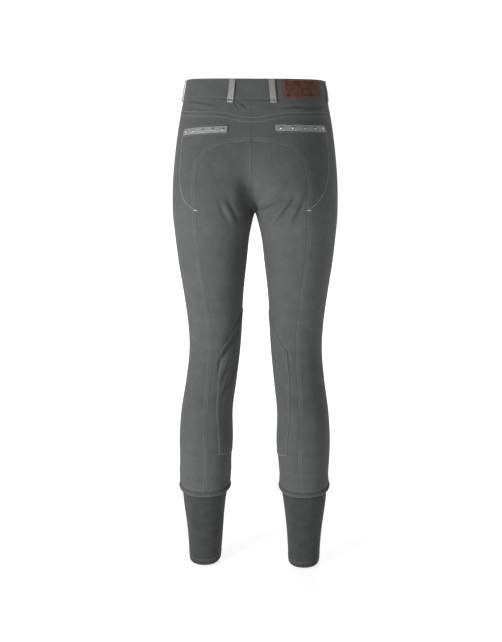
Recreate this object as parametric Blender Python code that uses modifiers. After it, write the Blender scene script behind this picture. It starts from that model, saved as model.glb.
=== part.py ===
"""Riding breeches as they are worn, with nobody in them.

The back of the breeches faces -Y, the front +Y and the wearer's right side +X. The
origin is the centre of the waistband, half way up it at the back. Every cloth piece
is a closed shell, laid out flat in two measures that all the pieces share:

    angle   degrees round a leg from its side seam, + towards the back. The inseam is at
            180, and above the fork of the legs a panel ends sooner, at the centre seam
    height  metres above the origin

wall() bends that layout round the legs. At the waist a turn stands in for the angle: the
share of the way from the side seam to the centre seam, +1 at the back and -1 at the
front. Pieces that are sewn to each other share the points of their seam, each drawn
back by half of the seam's gap.
"""

from collections import namedtuple

import bmesh
import bpy
import numpy as np
from mathutils import Matrix, Vector

# Driving sizes, in metres and degrees.
CLOTH = 0.0015
CUFF_CLOTH = 0.0012
BAND = 0.0028
BAND_PROUD = 0.0008
SEAM_GAP = 0.0003
CHORD_ROOM = 0.0003

BAND_TOP = 0.021
BAND_FOOT = -0.015
FRONT_DROP = 0.035
LAP = 0.025
LAP_START = 0.012
BUTTON_RADIUS = 0.0085
BUTTON_HEIGHT = 0.0024
BUTTON_IN_LAP = 0.45
FLY_TOE = 0.45
FLY_BEND = 0.5

LOOP_WIDTH = 0.011
LOOP_BELOW_BAND = 0.007
LOOP_STAND = 0.0024
LOOP_ANGLES = {"back": 91.0, "side": 9.5, "front": -75.0}
LOOP_LEANS = {"back": 0.0022, "side": 0.0, "front": 0.0}

PATCH_ANGLES = (33.0, 80.5)
PATCH_MARGIN = 0.0008
PATCH_LEATHER = 0.0014

SEAT_TOP = -0.0915
SEAT_CORNER_ARC = 0.058
WELT_HEIGHT = 0.0115
WELT_CLOTH = 0.0013
WELT_BOW = 0.0018
STUD_RADIUS = 0.0021
STUD_TABLE = 0.0012
STUD_HEIGHT = 0.0015
STUDS_ON_WELT = 5

ROLL_HEIGHT = 0.011
ROLL_DEPTH = 0.0052
ROLL_MIDDLE = -0.7925
ROLL_DIP = 0.004
HEM_MIDDLE = -0.950
HEM_DIP = 0.006
CUFF_TUCK = 0.0002

# Mesh: how many strips across and rows down each piece takes.
YOKE_COLUMNS = 7
YOKE_ROWS = 2
BAND_ROWS = 2
FRONT_COLUMNS = 12
SEAT_COLUMNS = 8
CENTRE_ROWS = 2
SEAT_ROWS = 9
FRONT_ROWS = 11
LEG_ROWS = 29
LEG_ROW_GROWTH = 1.2
CENTRE_ROW_GROWTH = 1.7
FORK_BEND = 2.5
FORK_LEVEL = 1.3
CUFF_ROWS = 6
ROLL_POINTS = 8
KNEE_COLUMNS = 12
KNEE_ROWS = 11
WELT_COLUMNS = 8
LOOP_ROWS = 8
FLY_COLUMNS = 2
FLY_ROWS = 7

# One leg's ring at each height: how far its inner, outer, front and back sides are from
# the centre plane and from the garment's middle. An inner side below 0 has crossed the
# centre plane, where the two legs melt into the body of the breeches.
Section = namedtuple("Section", "height inner outer middle front back")
SECTIONS = (
    Section(0.030, -0.052, 0.1262, 0.000, 0.088, -0.094),
    Section(-0.020, -0.050, 0.1352, 0.000, 0.095, -0.100),
    Section(-0.080, -0.044, 0.1465, -0.002, 0.100, -0.112),
    Section(-0.140, -0.032, 0.1542, -0.005, 0.101, -0.122),
    Section(-0.190, -0.016, 0.1580, -0.006, 0.099, -0.125),
    Section(-0.225, -0.0033, 0.1586, -0.005, 0.095, -0.120),
    Section(-0.250, 0.0038, 0.1583, -0.003, 0.091, -0.112),
    Section(-0.280, 0.0108, 0.1560, 0.000, 0.088, -0.100),
    Section(-0.340, 0.0178, 0.1502, 0.004, 0.087, -0.084),
    Section(-0.400, 0.0242, 0.1418, 0.008, 0.083, -0.071),
    Section(-0.460, 0.0280, 0.1345, 0.011, 0.078, -0.060),
    Section(-0.520, 0.0322, 0.1320, 0.010, 0.069, -0.053),
    Section(-0.580, 0.0388, 0.1380, -0.001, 0.055, -0.060),
    Section(-0.640, 0.0458, 0.1468, -0.014, 0.040, -0.074),
    Section(-0.700, 0.0452, 0.1506, -0.020, 0.031, -0.082),
    Section(-0.760, 0.0498, 0.1485, -0.022, 0.024, -0.079),
    Section(-0.800, 0.0545, 0.1462, -0.023, 0.020, -0.075),
    Section(-0.830, 0.0590, 0.1436, -0.024, 0.015, -0.071),
    Section(-0.880, 0.0650, 0.1375, -0.026, 0.011, -0.067),
    Section(-0.960, 0.0700, 0.1320, -0.028, 0.006, -0.064),
)
ROUNDNESS = 2.25
FORK_BLEND = 0.018
WAIST_BLEND = 0.160
BLEND_BOTTOM = -0.262
BLEND_TOP = -0.110

# Seams and edges that curve, each a row of points in angle and height.
Mark = namedtuple("Mark", "angle height")
YOKE_SEAM = (
    Mark(0.0, -0.047),
    Mark(27.0, -0.0460),
    Mark(70.0, -0.0412),
    Mark(90.0, -0.0438),
    Mark(102.0, -0.0485),
    Mark(111.2, -0.0500),
)
SEAT_SEAM = (
    Mark(99.0, -0.0945),
    Mark(86.5, -0.1000),
    Mark(78.0, -0.1110),
    Mark(73.0, -0.1260),
    Mark(71.0, -0.1450),
    Mark(72.5, -0.1820),
    Mark(76.8, -0.2190),
    Mark(79.5, -0.2900),
    Mark(84.0, -0.3750),
    Mark(89.3, -0.4700),
    Mark(91.2, -0.5500),
    Mark(96.0, -0.6400),
    Mark(99.0, -0.7200),
    Mark(99.5, -0.8100),
)
KNEE_BACK_EDGE = (
    Mark(105.0, -0.5060),
    Mark(105.0, -0.5560),
    Mark(111.0, -0.6200),
    Mark(117.0, -0.6670),
    Mark(119.5, -0.7150),
)
KNEE_FRONT_EDGE = (
    Mark(232.0, -0.4760),
    Mark(236.0, -0.5600),
    Mark(228.0, -0.6500),
    Mark(222.0, -0.7150),
)
KNEE_TOP_EDGE = (
    Mark(105.0, -0.5060),
    Mark(140.0, -0.4620),
    Mark(180.0, -0.4380),
    Mark(208.0, -0.4480),
    Mark(232.0, -0.4760),
)
KNEE_FOOT_EDGE = (
    Mark(119.5, -0.7150),
    Mark(150.0, -0.7220),
    Mark(190.0, -0.7240),
    Mark(222.0, -0.7150),
)

# The two pocket welts bow up a little and slope down from the centre, the left one more.
Welt = namedtuple("Welt", "side inner_angle inner_height outer_angle outer_height studs")
WELTS = {
    "right": Welt(1, 93.2, -0.0665, 37.0, -0.0734, (87.5, 42.0)),
    "left": Welt(-1, 92.6, -0.0695, 43.5, -0.0803, (88.6, 47.5)),
}

# The largest creases. Lean is how far the crease tips from upright, + where its upper end
# goes towards the back. A depth above 0 is a ridge.
Crease = namedtuple("Crease", "side angle height lean length width depth")
CREASES = (
    Crease(-1, 128, -0.486, 33, 0.042, 0.0160, -0.0038),
    Crease(-1, 112, -0.470, 30, 0.045, 0.0110, 0.0016),
    Crease(-1, 140, -0.548, 40, 0.036, 0.0150, -0.0024),
    Crease(-1, 50, -0.446, -38, 0.026, 0.0100, -0.0014),
    Crease(-1, 135, -0.232, 58, 0.036, 0.0120, -0.0022),
    Crease(1, 138, -0.235, 50, 0.040, 0.0120, -0.0024),
    Crease(1, 118, -0.214, 40, 0.032, 0.0110, -0.0016),
    Crease(1, 140, -0.500, 38, 0.034, 0.0150, -0.0022),
    Crease(1, 128, -0.575, 30, 0.032, 0.0140, -0.0018),
    Crease(1, -128, -0.215, -55, 0.050, 0.0130, -0.0026),
    Crease(-1, -124, -0.222, -60, 0.046, 0.0130, -0.0024),
    Crease(1, -95, -0.452, 74, 0.034, 0.0120, -0.0018),
    Crease(-1, -88, -0.470, -76, 0.030, 0.0120, -0.0017),
    Crease(1, -96, -0.905, 82, 0.026, 0.0110, -0.0020),
    Crease(-1, -84, -0.890, -80, 0.024, 0.0110, -0.0018),
)
ARC_PER_DEGREE = 0.00135

SIDES = {"right": 1, "left": -1}

# Finishes: linear colour, roughness, metallic.
FINISHES = {
    "breech_cloth": ((0.110, 0.115, 0.113), 0.85, 0.0),
    "cuff_jersey": ((0.075, 0.078, 0.077), 0.90, 0.0),
    "silver_canvas": ((0.330, 0.335, 0.330), 0.60, 0.0),
    "brown_leather": ((0.105, 0.040, 0.022), 0.55, 0.0),
    "stone": ((0.55, 0.57, 0.60), 0.12, 0.9),
    "button_metal": ((0.20, 0.20, 0.20), 0.35, 1.0),
}


# ------------------------------------------------------------------ the garment's wall

ROW_HEIGHTS = np.array([row.height for row in SECTIONS])[::-1]
ROW_SIZES = np.array([row[1:] for row in SECTIONS])[::-1]
ROW_SLOPES = np.gradient(ROW_SIZES, ROW_HEIGHTS, axis=0)
BISECTIONS = 40
REACH = 0.4
NUDGE = 1e-4


def leg_sizes(z):
    """Inner, outer, middle, front and back of one leg at each height, smooth between the rows."""
    row = np.clip(np.searchsorted(ROW_HEIGHTS, z) - 1, 0, len(ROW_HEIGHTS) - 2)
    step = ROW_HEIGHTS[row + 1] - ROW_HEIGHTS[row]
    t = np.clip((z - ROW_HEIGHTS[row]) / step, 0, 1)[..., None]
    step = step[..., None]
    low, high = ROW_SIZES[row], ROW_SIZES[row + 1]
    rise, fall = ROW_SLOPES[row] * step, ROW_SLOPES[row + 1] * step
    sizes = (
        (2 * t**3 - 3 * t**2 + 1) * low
        + (t**3 - 2 * t**2 + t) * rise
        + (3 * t**2 - 2 * t**3) * high
        + (t**3 - t**2) * fall
    )
    return np.moveaxis(sizes, -1, 0)


def leg_level(x, y, z):
    """1 on the wall of the leg at +X, less inside it."""
    inner, outer, middle, front, back = leg_sizes(z)
    across = (x - (inner + outer) / 2) / ((outer - inner) / 2)
    along = (y - middle) / np.where(y > middle, front - middle, middle - back)
    return (np.abs(across) ** ROUNDNESS + np.abs(along) ** ROUNDNESS) ** (1 / ROUNDNESS)


def level(x, y, z):
    """Both legs as one form: 1 on its wall, with a soft join that widens up to the waist."""
    t = np.clip((z - BLEND_BOTTOM) / (BLEND_TOP - BLEND_BOTTOM), 0, 1)
    blend = FORK_BLEND + WAIST_BLEND * t * t * (3 - 2 * t)
    near, far = leg_level(x, y, z), leg_level(-x, y, z)
    return np.minimum(near, far) - blend * np.log1p(np.exp(-np.abs(near - far) / blend))


def walk_out(level_at, reach):
    """How far out from inside the form its wall is, by halving."""
    low, high = np.zeros_like(reach), reach
    for _ in range(BISECTIONS):
        middle = (low + high) / 2
        inside = level_at(middle) < 1
        low, high = np.where(inside, middle, low), np.where(inside, high, middle)
    return (low + high) / 2


def end_angles(z):
    """Where the front and the back of the half ring end: the centre seams, or the inseam."""
    inner, outer, middle, _, _ = leg_sizes(z)
    centre = (inner + outer) / 2
    reach = np.full_like(z, REACH)
    to_front = walk_out(lambda d: level(0 * z, middle + d, z), reach)
    to_back = walk_out(lambda d: level(0 * z, middle - d, z), reach)
    joined = level(0 * z, middle, z) < 1
    front = np.where(joined, np.degrees(np.arctan2(to_front, -centre)), 180.0)
    back = np.where(joined, np.degrees(np.arctan2(to_back, -centre)), 180.0)
    return front, back


def angle_of(turn, z):
    turn, z = np.broadcast_arrays(np.asarray(turn, float), np.asarray(z, float))
    front, back = end_angles(z)
    return turn * np.where(turn < 0, front, back)


def crease_lift(side, angle, z):
    """How far the creases move the cloth out at a place."""
    lift = np.zeros(np.broadcast(angle, z).shape)
    for crease in CREASES:
        lean = np.radians(crease.lean)
        round_leg = (angle - crease.angle) * ARC_PER_DEGREE
        up = z - crease.height
        along = up * np.cos(lean) + round_leg * np.sin(lean)
        across = round_leg * np.cos(lean) - up * np.sin(lean)
        soft = np.exp(-((along / crease.length) ** 2) - (across / crease.width) ** 2)
        lift = lift + np.where(side == crease.side, crease.depth * soft, 0)
    return lift


def wall(side, angle, z):
    """Points on the cloth's outer face, and the way out from it."""
    side, angle, z = np.broadcast_arrays(*(np.asarray(a, float) for a in (side, angle, z)))
    inner, outer, middle, _, _ = leg_sizes(z)
    centre = (inner + outer) / 2
    out_x, out_y = np.cos(np.radians(angle)), -np.sin(np.radians(angle))
    to_plane = np.where(out_x < 0, centre / np.maximum(-out_x, NUDGE), REACH)
    reach = np.minimum(to_plane, REACH)
    far = walk_out(lambda d: level(centre + d * out_x, middle + d * out_y, z), reach)
    x, y = centre + far * out_x, middle + far * out_y
    slopes = [
        level(x + NUDGE, y, z) - level(x - NUDGE, y, z),
        level(x, y + NUDGE, z) - level(x, y - NUDGE, z),
        level(x, y, z + NUDGE) - level(x, y, z - NUDGE),
    ]
    normals = unit(np.stack(slopes, -1))
    wrapped = (angle + 180) % 360 - 180
    lift = crease_lift(side, np.where(z < FORK, wrapped, angle), z)
    points = np.stack([x, y, z], -1) + normals * lift[..., None]
    mirror = np.stack([side, np.ones_like(side), np.ones_like(side)], -1)
    return points * mirror, normals * mirror


def unit(vectors):
    return vectors / np.maximum(np.linalg.norm(vectors, axis=-1, keepdims=True), 1e-12)


def fork_height():
    """Where the legs part: the centre of the form is on its own wall."""
    low, high = BLEND_BOTTOM, BLEND_TOP
    for _ in range(BISECTIONS):
        middle = np.array((low + high) / 2)
        joined = level(0 * middle, leg_sizes(middle)[2], middle) < 1
        low, high = (low, middle) if joined else (middle, high)
    return float(high)


FORK = fork_height()


# ---------------------------------------------------------------------- edges and seams


def band_top(turn):
    """The waistband is level at the back and lower at the front."""
    return BAND_TOP - FRONT_DROP * np.cos(np.pi * (turn + 1) / 4) ** 3


def band_foot(turn):
    return BAND_FOOT - FRONT_DROP * np.cos(np.pi * (turn + 1) / 4) ** 3.6


def roll_middle(angle):
    return ROLL_MIDDLE - ROLL_DIP * np.sin(np.radians(angle))


def hem(angle):
    return HEM_MIDDLE - HEM_DIP * np.sin(np.radians(angle))


def curve(marks, per_span=40):
    """A smooth curve through the marks: angles and heights."""
    rows = np.array(marks, float)
    rows = np.vstack([2 * rows[0] - rows[1], rows, 2 * rows[-1] - rows[-2]])
    t = np.linspace(0, 1, per_span, endpoint=False)[:, None]
    spans = []
    for before, start, end, after in zip(rows, rows[1:], rows[2:], rows[3:]):
        spans.append(
            start
            + t * (end - before) / 2
            + t**2 * (before - 2.5 * start + 2 * end - after / 2)
            + t**3 * (1.5 * (start - end) + (after - before) / 2)
        )
    return np.vstack([*spans, rows[-2:-1]])


def spaced(points, shares):
    """The points at these shares of a polyline's length, by (angle, height) points."""
    steps = np.diff(points, axis=0) * (ARC_PER_DEGREE, 1)
    length = np.concatenate([[0], np.cumsum(np.linalg.norm(steps, axis=1))])
    shares = np.asarray(shares) * length[-1]
    return np.stack([np.interp(shares, length, points[:, i]) for i in (0, 1)], -1)


def even(count):
    return np.linspace(0, 1, count + 1)


def at_turns(turns, heights):
    """Points of a layout at these turns, which run from side seam to centre seam."""
    return np.stack(np.broadcast_arrays(angle_of(turns, heights), heights), -1)


def centre_seam(turn, top, count):
    """Down the centre seam from top to the fork, in steps that grow towards the fork."""
    heights = FORK + (top - FORK) * np.linspace(1, 0, 400) ** 2
    line = at_turns(turn, heights)
    points, _ = wall(1, line[:, 0], line[:, 1])
    length = np.concatenate([[0], np.cumsum(np.linalg.norm(np.diff(points, axis=0), axis=1))])
    steps = even(count) ** CENTRE_ROW_GROWTH * length[-1]
    return at_turns(turn, np.interp(steps, length, heights))


def leg_heights():
    """Heights of the rows down a leg, from the fork to the rolled hem, closer at the fork."""
    return FORK + (ROLL_MIDDLE - FORK) * even(LEG_ROWS)[1:] ** LEG_ROW_GROWTH


def seat_seam():
    """The seat panel's round top and long outer seam, cut at its corner and at the fork."""
    start = (angle_of(1, SEAT_TOP), SEAT_TOP)
    line = curve((Mark(*start), *SEAT_SEAM))
    steps = np.diff(line, axis=0) * (ARC_PER_DEGREE, 1)
    length = np.concatenate([[0], np.cumsum(np.linalg.norm(steps, axis=1))])
    corner = np.searchsorted(length, SEAT_CORNER_ARC)
    fork = np.searchsorted(-line[:, 1], -FORK)
    top = spaced(line[: corner + 1], even(SEAT_COLUMNS))
    side = spaced(line[corner:fork], even(SEAT_ROWS))
    down = leg_heights()
    legs = np.stack([np.interp(-down, -line[:, 1], line[:, 0]), down], -1)
    return top, np.vstack([side, legs])


def filled(top, foot, left, right, shares=None):
    """The grid of points between four edges: top and foot run left to right.

    The shares say how far each column's angles and heights have gone over from those of
    the left edge to those of the right one.
    """
    s = np.linspace(0, 1, len(top))[None, :, None] if shares is None else shares[None]
    t = np.linspace(0, 1, len(left))[:, None, None]
    across = (1 - t) * top[None] + t * foot[None]
    down = (1 - s) * left[:, None] + s * right[:, None]
    corners = (1 - t) * ((1 - s) * top[0] + s * top[-1]) + t * ((1 - s) * foot[0] + s * foot[-1])
    return across + down - corners


def from_fork(count):
    """Shares for filled() outwards from the edge with the fork on it.

    The panel's edge turns sharply there, so only the next columns bend with it, and the
    rows leave it level.
    """
    share = even(count)
    return np.stack([1 - (1 - share) ** FORK_BEND, share**FORK_LEVEL], -1)


def edge(angles, heights):
    return np.stack(np.broadcast_arrays(np.asarray(angles, float), heights), -1)


# ----------------------------------------------------------------------- making meshes


def add_object(name, mesh, finish):
    mesh.materials.append(MATERIALS[finish])
    node = bpy.data.objects.new(name, mesh)
    PARTS.objects.link(node)
    return node


def border(rows, columns):
    """The places round a grid's rim, in order."""
    return (
        [(0, c) for c in range(columns)]
        + [(r, columns - 1) for r in range(1, rows)]
        + [(rows - 1, c) for c in reversed(range(columns - 1))]
        + [(r, 0) for r in reversed(range(1, rows - 1))]
    )


def drawn_in(points, normals):
    """The grid with its rim moved in by half a seam gap, mitred at the corners."""
    points = points.copy()
    rim = tuple(np.array(border(*points.shape[:2])).T)
    here, out = points[rim], normals[rim]
    ahead = unit(np.cross(out, np.roll(here, -1, 0) - here))
    behind = unit(np.cross(out, here - np.roll(here, 1, 0)))
    mitre = (ahead + behind) / np.maximum(1 + (ahead * behind).sum(1, keepdims=True), 0.5)
    middle = points.shape[1] // 2
    inward = np.dot(points[1, middle] - points[0, middle], mitre[middle])
    points[rim] += mitre * np.sign(inward) * SEAM_GAP / 2
    return points


def shell(name, points, normals, thickness, finish, lift=0.0, tube=False):
    """A closed wall: the grid moved out by lift, and its inner face a thickness below."""
    rows, columns = points.shape[:2]
    lift = np.broadcast_to(lift, (rows, columns))[..., None]
    outer = points + normals * lift
    inner = outer - normals * thickness
    count = rows * columns
    index = np.arange(count).reshape(rows, columns)
    corners = np.concatenate([outer.reshape(-1, 3), inner.reshape(-1, 3)])
    if tube:
        index = np.hstack([index, index[:, :1]])
        rims = [[(r, c) for c in range(columns + 1)] for r in (0, rows - 1)]
    else:
        around = border(rows, columns)
        rims = [[*around, around[0]]]
    faces = []
    for r in range(rows - 1):
        for c in range(index.shape[1] - 1):
            quad = [index[r, c], index[r, c + 1], index[r + 1, c + 1], index[r + 1, c]]
            for triangle in cut_short(corners, quad):
                faces.append(triangle)
                faces.append([count + i for i in reversed(triangle)])
    for rim in rims:
        for a, b in zip(rim, rim[1:]):
            faces.append([index[a], index[b], count + index[b], count + index[a]])
    return closed_mesh(name, corners, faces, finish)


def cut_short(corners, quad):
    """The two triangles of a quad, cut along its shorter diagonal."""
    a, b, c, d = quad
    if np.linalg.norm(corners[a] - corners[c]) <= np.linalg.norm(corners[b] - corners[d]):
        return [a, b, c], [a, c, d]
    return [a, b, d], [b, c, d]


def closed_mesh(name, corners, faces, finish):
    mesh = bpy.data.meshes.new(name)
    mesh.from_pydata(corners.tolist(), [], [[int(i) for i in face] for face in faces])
    form = bmesh.new()
    form.from_mesh(mesh)
    bmesh.ops.recalc_face_normals(form, faces=form.faces)
    form.to_mesh(mesh)
    form.free()
    mesh.shade_smooth()
    mesh.set_sharp_from_angle(angle=np.radians(50))
    return add_object(name, mesh, finish)


def panel(name, side, layout, thickness=CLOTH, lift=0.0, finish="breech_cloth"):
    """A sewn panel: its layout bent round the leg, drawn back from its neighbours."""
    points, normals = wall(side, layout[..., 0], layout[..., 1])
    return shell(name, drawn_in(points, normals), normals, thickness, finish, lift)


def overlay(name, side, layout, thickness, finish, lift=SEAM_GAP + CHORD_ROOM):
    """A piece that lies on others, its under side just clear of them."""
    points, normals = wall(side, layout[..., 0], layout[..., 1])
    return shell(name, points, normals, thickness, finish, lift + thickness)


def facing_out(side, angle, z, lift):
    """The place and the turn of something set on the cloth, with its Z pointing out."""
    point, normal = wall(side, angle, z)
    place = Vector(point + normal * lift)
    return Matrix.Translation(place) @ Vector(normal).to_track_quat("Z", "Y").to_matrix().to_4x4()


# --------------------------------------------------------------------------- the pieces


def make_waistband():
    turns = even(YOKE_COLUMNS)
    back_turns = np.concatenate([turns, turns[-2::-1]])
    back_sides = np.concatenate([np.ones(len(turns)), -np.ones(len(turns) - 1)])
    fall = even(BAND_ROWS)[:, None]
    heights = band_top(back_turns) * (1 - fall) + band_foot(back_turns) * fall
    band("waistband_back", back_sides, back_turns, heights, BAND_PROUD)

    turns = -even(FRONT_COLUMNS)
    heights = band_top(turns) * (1 - fall) + band_foot(turns) * fall
    band("waistband_front_right", 1, turns, heights, BAND_PROUD)

    half_front = arc_length(-1)
    ramp = 1 - LAP_START / half_front
    lap = 1 - np.array([0.5, 1.0]) * LAP / half_front
    before = turns[turns > -ramp]
    lap_turns = np.concatenate([before, [-ramp, -0.99, -1.0], -lap])
    lap_sides = np.concatenate([-np.ones(len(lap_turns) - 2), [1, 1]])
    raised = np.concatenate([np.zeros(len(before) + 1), np.ones(4)])
    lift = BAND_PROUD + (BAND + SEAM_GAP) * raised
    heights = band_top(lap_turns) * (1 - fall) + band_foot(lap_turns) * fall
    band("waistband_front_left", lap_sides, lap_turns, heights, lift)

    button_turn = -(1 - BUTTON_IN_LAP * LAP / half_front)
    height = (band_top(button_turn) + band_foot(button_turn)) / 2
    lift = BAND_PROUD + BAND + 2 * SEAM_GAP + BUTTON_HEIGHT / 2
    button(facing_out(1, angle_of(button_turn, height), height, lift))


def arc_length(end):
    """Length of the half ring at the waistband, from the side seam to turn = end."""
    turns = end * even(60)
    middle = (band_top(turns) + band_foot(turns)) / 2
    points, _ = wall(1, angle_of(turns, middle), middle)
    return np.linalg.norm(np.diff(points, axis=0), axis=1).sum()


def band(name, sides, turns, heights, lift):
    points, normals = wall(sides, angle_of(turns, heights), heights)
    shell(name, drawn_in(points, normals), normals, BAND, "breech_cloth", lift)


def button(place):
    form = bmesh.new()
    bmesh.ops.create_cone(
        form,
        cap_ends=True,
        segments=20,
        radius1=BUTTON_RADIUS,
        radius2=BUTTON_RADIUS,
        depth=BUTTON_HEIGHT,
    )
    mesh = bpy.data.meshes.new("waist_button")
    form.to_mesh(mesh)
    form.free()
    node = add_object("waist_button", mesh, "button_metal")
    node.matrix_world = place
    rounded = node.modifiers.new("rounded rim", "BEVEL")
    rounded.width = BUTTON_HEIGHT / 4
    rounded.segments = 2


def make_yokes():
    turns = even(YOKE_COLUMNS)
    top, seam = at_turns(turns, band_foot(turns)), yoke_seam()
    fall = even(YOKE_ROWS)
    left = edge(0, top[0, 1] + (seam[0, 1] - top[0, 1]) * fall)
    right = at_turns(1, top[-1, 1] + (seam[-1, 1] - top[-1, 1]) * fall)
    for word, side in SIDES.items():
        panel(f"yoke_{word}", side, filled(top, seam, left, right))


def yoke_seam():
    line = curve(YOKE_SEAM)
    end = angle_of(1, YOKE_SEAM[-1].height)
    angles = end * even(YOKE_COLUMNS)
    return edge(angles, np.interp(angles, line[:, 0] * end / line[-1, 0], line[:, 1]))


def make_back_legs_and_seats():
    """The outer back leg and the seat panel share the round-topped seat seam."""
    top, down = seat_seam()
    yoke = yoke_seam()
    centre = at_turns(1, yoke[-1, 1] + (SEAT_TOP - yoke[-1, 1]) * even(CENTRE_ROWS)[:-1])
    inner = np.vstack([centre, top[:-1], down])
    inner[-1, 1] = roll_middle(down[-1, 0])
    above_fork = yoke[0, 1] + (FORK - yoke[0, 1]) * even(len(inner) - LEG_ROWS - 1)
    outer = edge(0, np.concatenate([above_fork, leg_heights()]))
    outer[-1, 1] = roll_middle(0)
    foot_angles = inner[-1, 0] * even(YOKE_COLUMNS)
    back_leg = filled(yoke, edge(foot_angles, roll_middle(foot_angles)), outer, inner)

    inseam = np.vstack([centre_seam(1, SEAT_TOP, SEAT_ROWS), edge(180, leg_heights())])
    inseam[-1, 1] = roll_middle(180)
    seat_angles = 180 + (inner[-1, 0] - 180) * even(SEAT_COLUMNS)
    seat_foot = edge(seat_angles, roll_middle(seat_angles))
    down[-1] = seat_foot[-1]
    seat = filled(top, seat_foot, inseam, down, from_fork(SEAT_COLUMNS))
    for word, side in SIDES.items():
        panel(f"back_leg_{word}", side, back_leg)
        panel(f"seat_{word}", side, seat)
    return np.concatenate([foot_angles, seat_angles[-2::-1]])


def make_front_legs():
    turns = -even(FRONT_COLUMNS)
    top = at_turns(turns, band_foot(turns))
    foot = edge(180 * turns, roll_middle(180 * turns))
    down = leg_heights()
    inner = np.vstack([centre_seam(-1, band_foot(-1), FRONT_ROWS), edge(-180, down)])
    above_fork = band_foot(0) + (FORK - band_foot(0)) * even(FRONT_ROWS)
    outer = edge(0, np.concatenate([above_fork, down]))
    inner[-1], outer[-1] = foot[-1], foot[0]
    front = filled(top, foot, outer, inner, 1 - from_fork(FRONT_COLUMNS)[::-1])
    for word, side in SIDES.items():
        panel(f"front_leg_{word}", side, front)
    return front


def make_fly(front):
    """The stitched fly shows on the left front, two strips wide, with its toe cut back."""
    points, normals = wall(-1, front[..., 0], front[..., 1])
    narrowed = 1 - (1 - FLY_TOE) * np.clip((even(FLY_ROWS) - FLY_BEND) / (1 - FLY_BEND), 0, 1) ** 2
    rows = slice(0, FLY_ROWS + 1)
    strip, out = points[rows, : -2 - FLY_COLUMNS : -1], normals[rows, : -2 - FLY_COLUMNS : -1]
    strip = strip[:, :1] + (strip - strip[:, :1]) * narrowed[:, None, None]
    lift = SEAM_GAP + 2 * CHORD_ROOM + CLOTH
    shell("fly_flap", drawn_in(strip, out), out, CLOTH, "breech_cloth", lift)


def make_knee_patches():
    """One layer over the inner leg from above the knee to the calf, square at its foot."""
    top = spaced(curve(KNEE_TOP_EDGE), even(KNEE_COLUMNS))
    foot = spaced(curve(KNEE_FOOT_EDGE), even(KNEE_COLUMNS))
    back = spaced(curve(KNEE_BACK_EDGE), even(KNEE_ROWS))
    front = spaced(curve(KNEE_FRONT_EDGE), even(KNEE_ROWS))
    layout = filled(top, foot, back, front)
    for word, side in SIDES.items():
        lift = SEAM_GAP + 3 * CHORD_ROOM
        overlay(f"knee_patch_{word}", side, layout, CUFF_CLOTH, "breech_cloth", lift)


def make_loops():
    for place, angle in LOOP_ANGLES.items():
        for word, side in SIDES.items():
            belt_loop(f"belt_loop_{place}_{word}", side, angle, LOOP_LEANS[place])


def belt_loop(name, side, angle, lean):
    """A folded strip, sewn at the band's top edge and below the band, slack between.

    Its top leans towards the centre seam.
    """
    turn = angle / abs(angle_of(np.sign(angle), 0.0))
    ends, _ = wall(side, [angle - 1, angle + 1], 0.0)
    half = LOOP_WIDTH / np.linalg.norm(ends[1] - ends[0]) * turn / abs(angle)
    fall = even(LOOP_ROWS)[:, None]
    start, stop = band_top(turn), band_foot(turn) - LOOP_BELOW_BAND
    heights = start + (stop - start) * fall
    turns = turn + half * (np.array([[-1.0, 1.0]]) + 2 * lean / LOOP_WIDTH * (1 - fall))
    points, normals = wall(side, angle_of(turns, heights), heights)
    below_band = LOOP_BELOW_BAND / (start - stop)
    on_band = np.clip((1 - fall) / below_band, 0, 1)
    lift = SEAM_GAP + BAND_PROUD * on_band + LOOP_STAND * np.sin(np.pi * fall)
    shell(name, points, normals, CLOTH, "silver_canvas", lift + CLOTH)


def make_leather_patch():
    turns = np.linspace(*PATCH_ANGLES, WELT_COLUMNS + 1) / angle_of(1, 0.0)
    rims = [band_top(turns) - PATCH_MARGIN, band_foot(turns) + PATCH_MARGIN]
    layout = np.stack([at_turns(turns, heights) for heights in rims])
    lift = BAND_PROUD + SEAM_GAP + CHORD_ROOM / 3
    overlay("leather_patch", 1, layout, PATCH_LEATHER, "brown_leather", lift)


def make_welts():
    for word, welt in WELTS.items():
        share = even(WELT_COLUMNS)
        angles = welt.inner_angle + (welt.outer_angle - welt.inner_angle) * share
        middles = welt.inner_height + (welt.outer_height - welt.inner_height) * share
        middles += WELT_BOW * np.sin(np.pi * share)
        rows = [edge(angles, middles + up * WELT_HEIGHT) for up in (0.5, -0.5)]
        lift = SEAM_GAP + CHORD_ROOM / 2
        overlay(f"pocket_welt_{word}", welt.side, np.stack(rows), WELT_CLOTH, "silver_canvas", lift)
        for i, angle in enumerate(np.linspace(*welt.studs, STUDS_ON_WELT)):
            height = np.interp(-angle, -angles, middles)
            base = lift + WELT_CLOTH + SEAM_GAP
            stud(f"stud_{word}_{i + 1}", facing_out(welt.side, angle, height, base))


def stud(name, place):
    form = bmesh.new()
    bmesh.ops.create_cone(
        form,
        cap_ends=True,
        segments=10,
        radius1=STUD_RADIUS,
        radius2=STUD_TABLE,
        depth=STUD_HEIGHT,
        matrix=Matrix.Translation((0, 0, STUD_HEIGHT / 2)),
    )
    mesh = bpy.data.meshes.new(name)
    form.to_mesh(mesh)
    form.free()
    add_object(name, mesh, "stone").matrix_world = place


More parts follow.
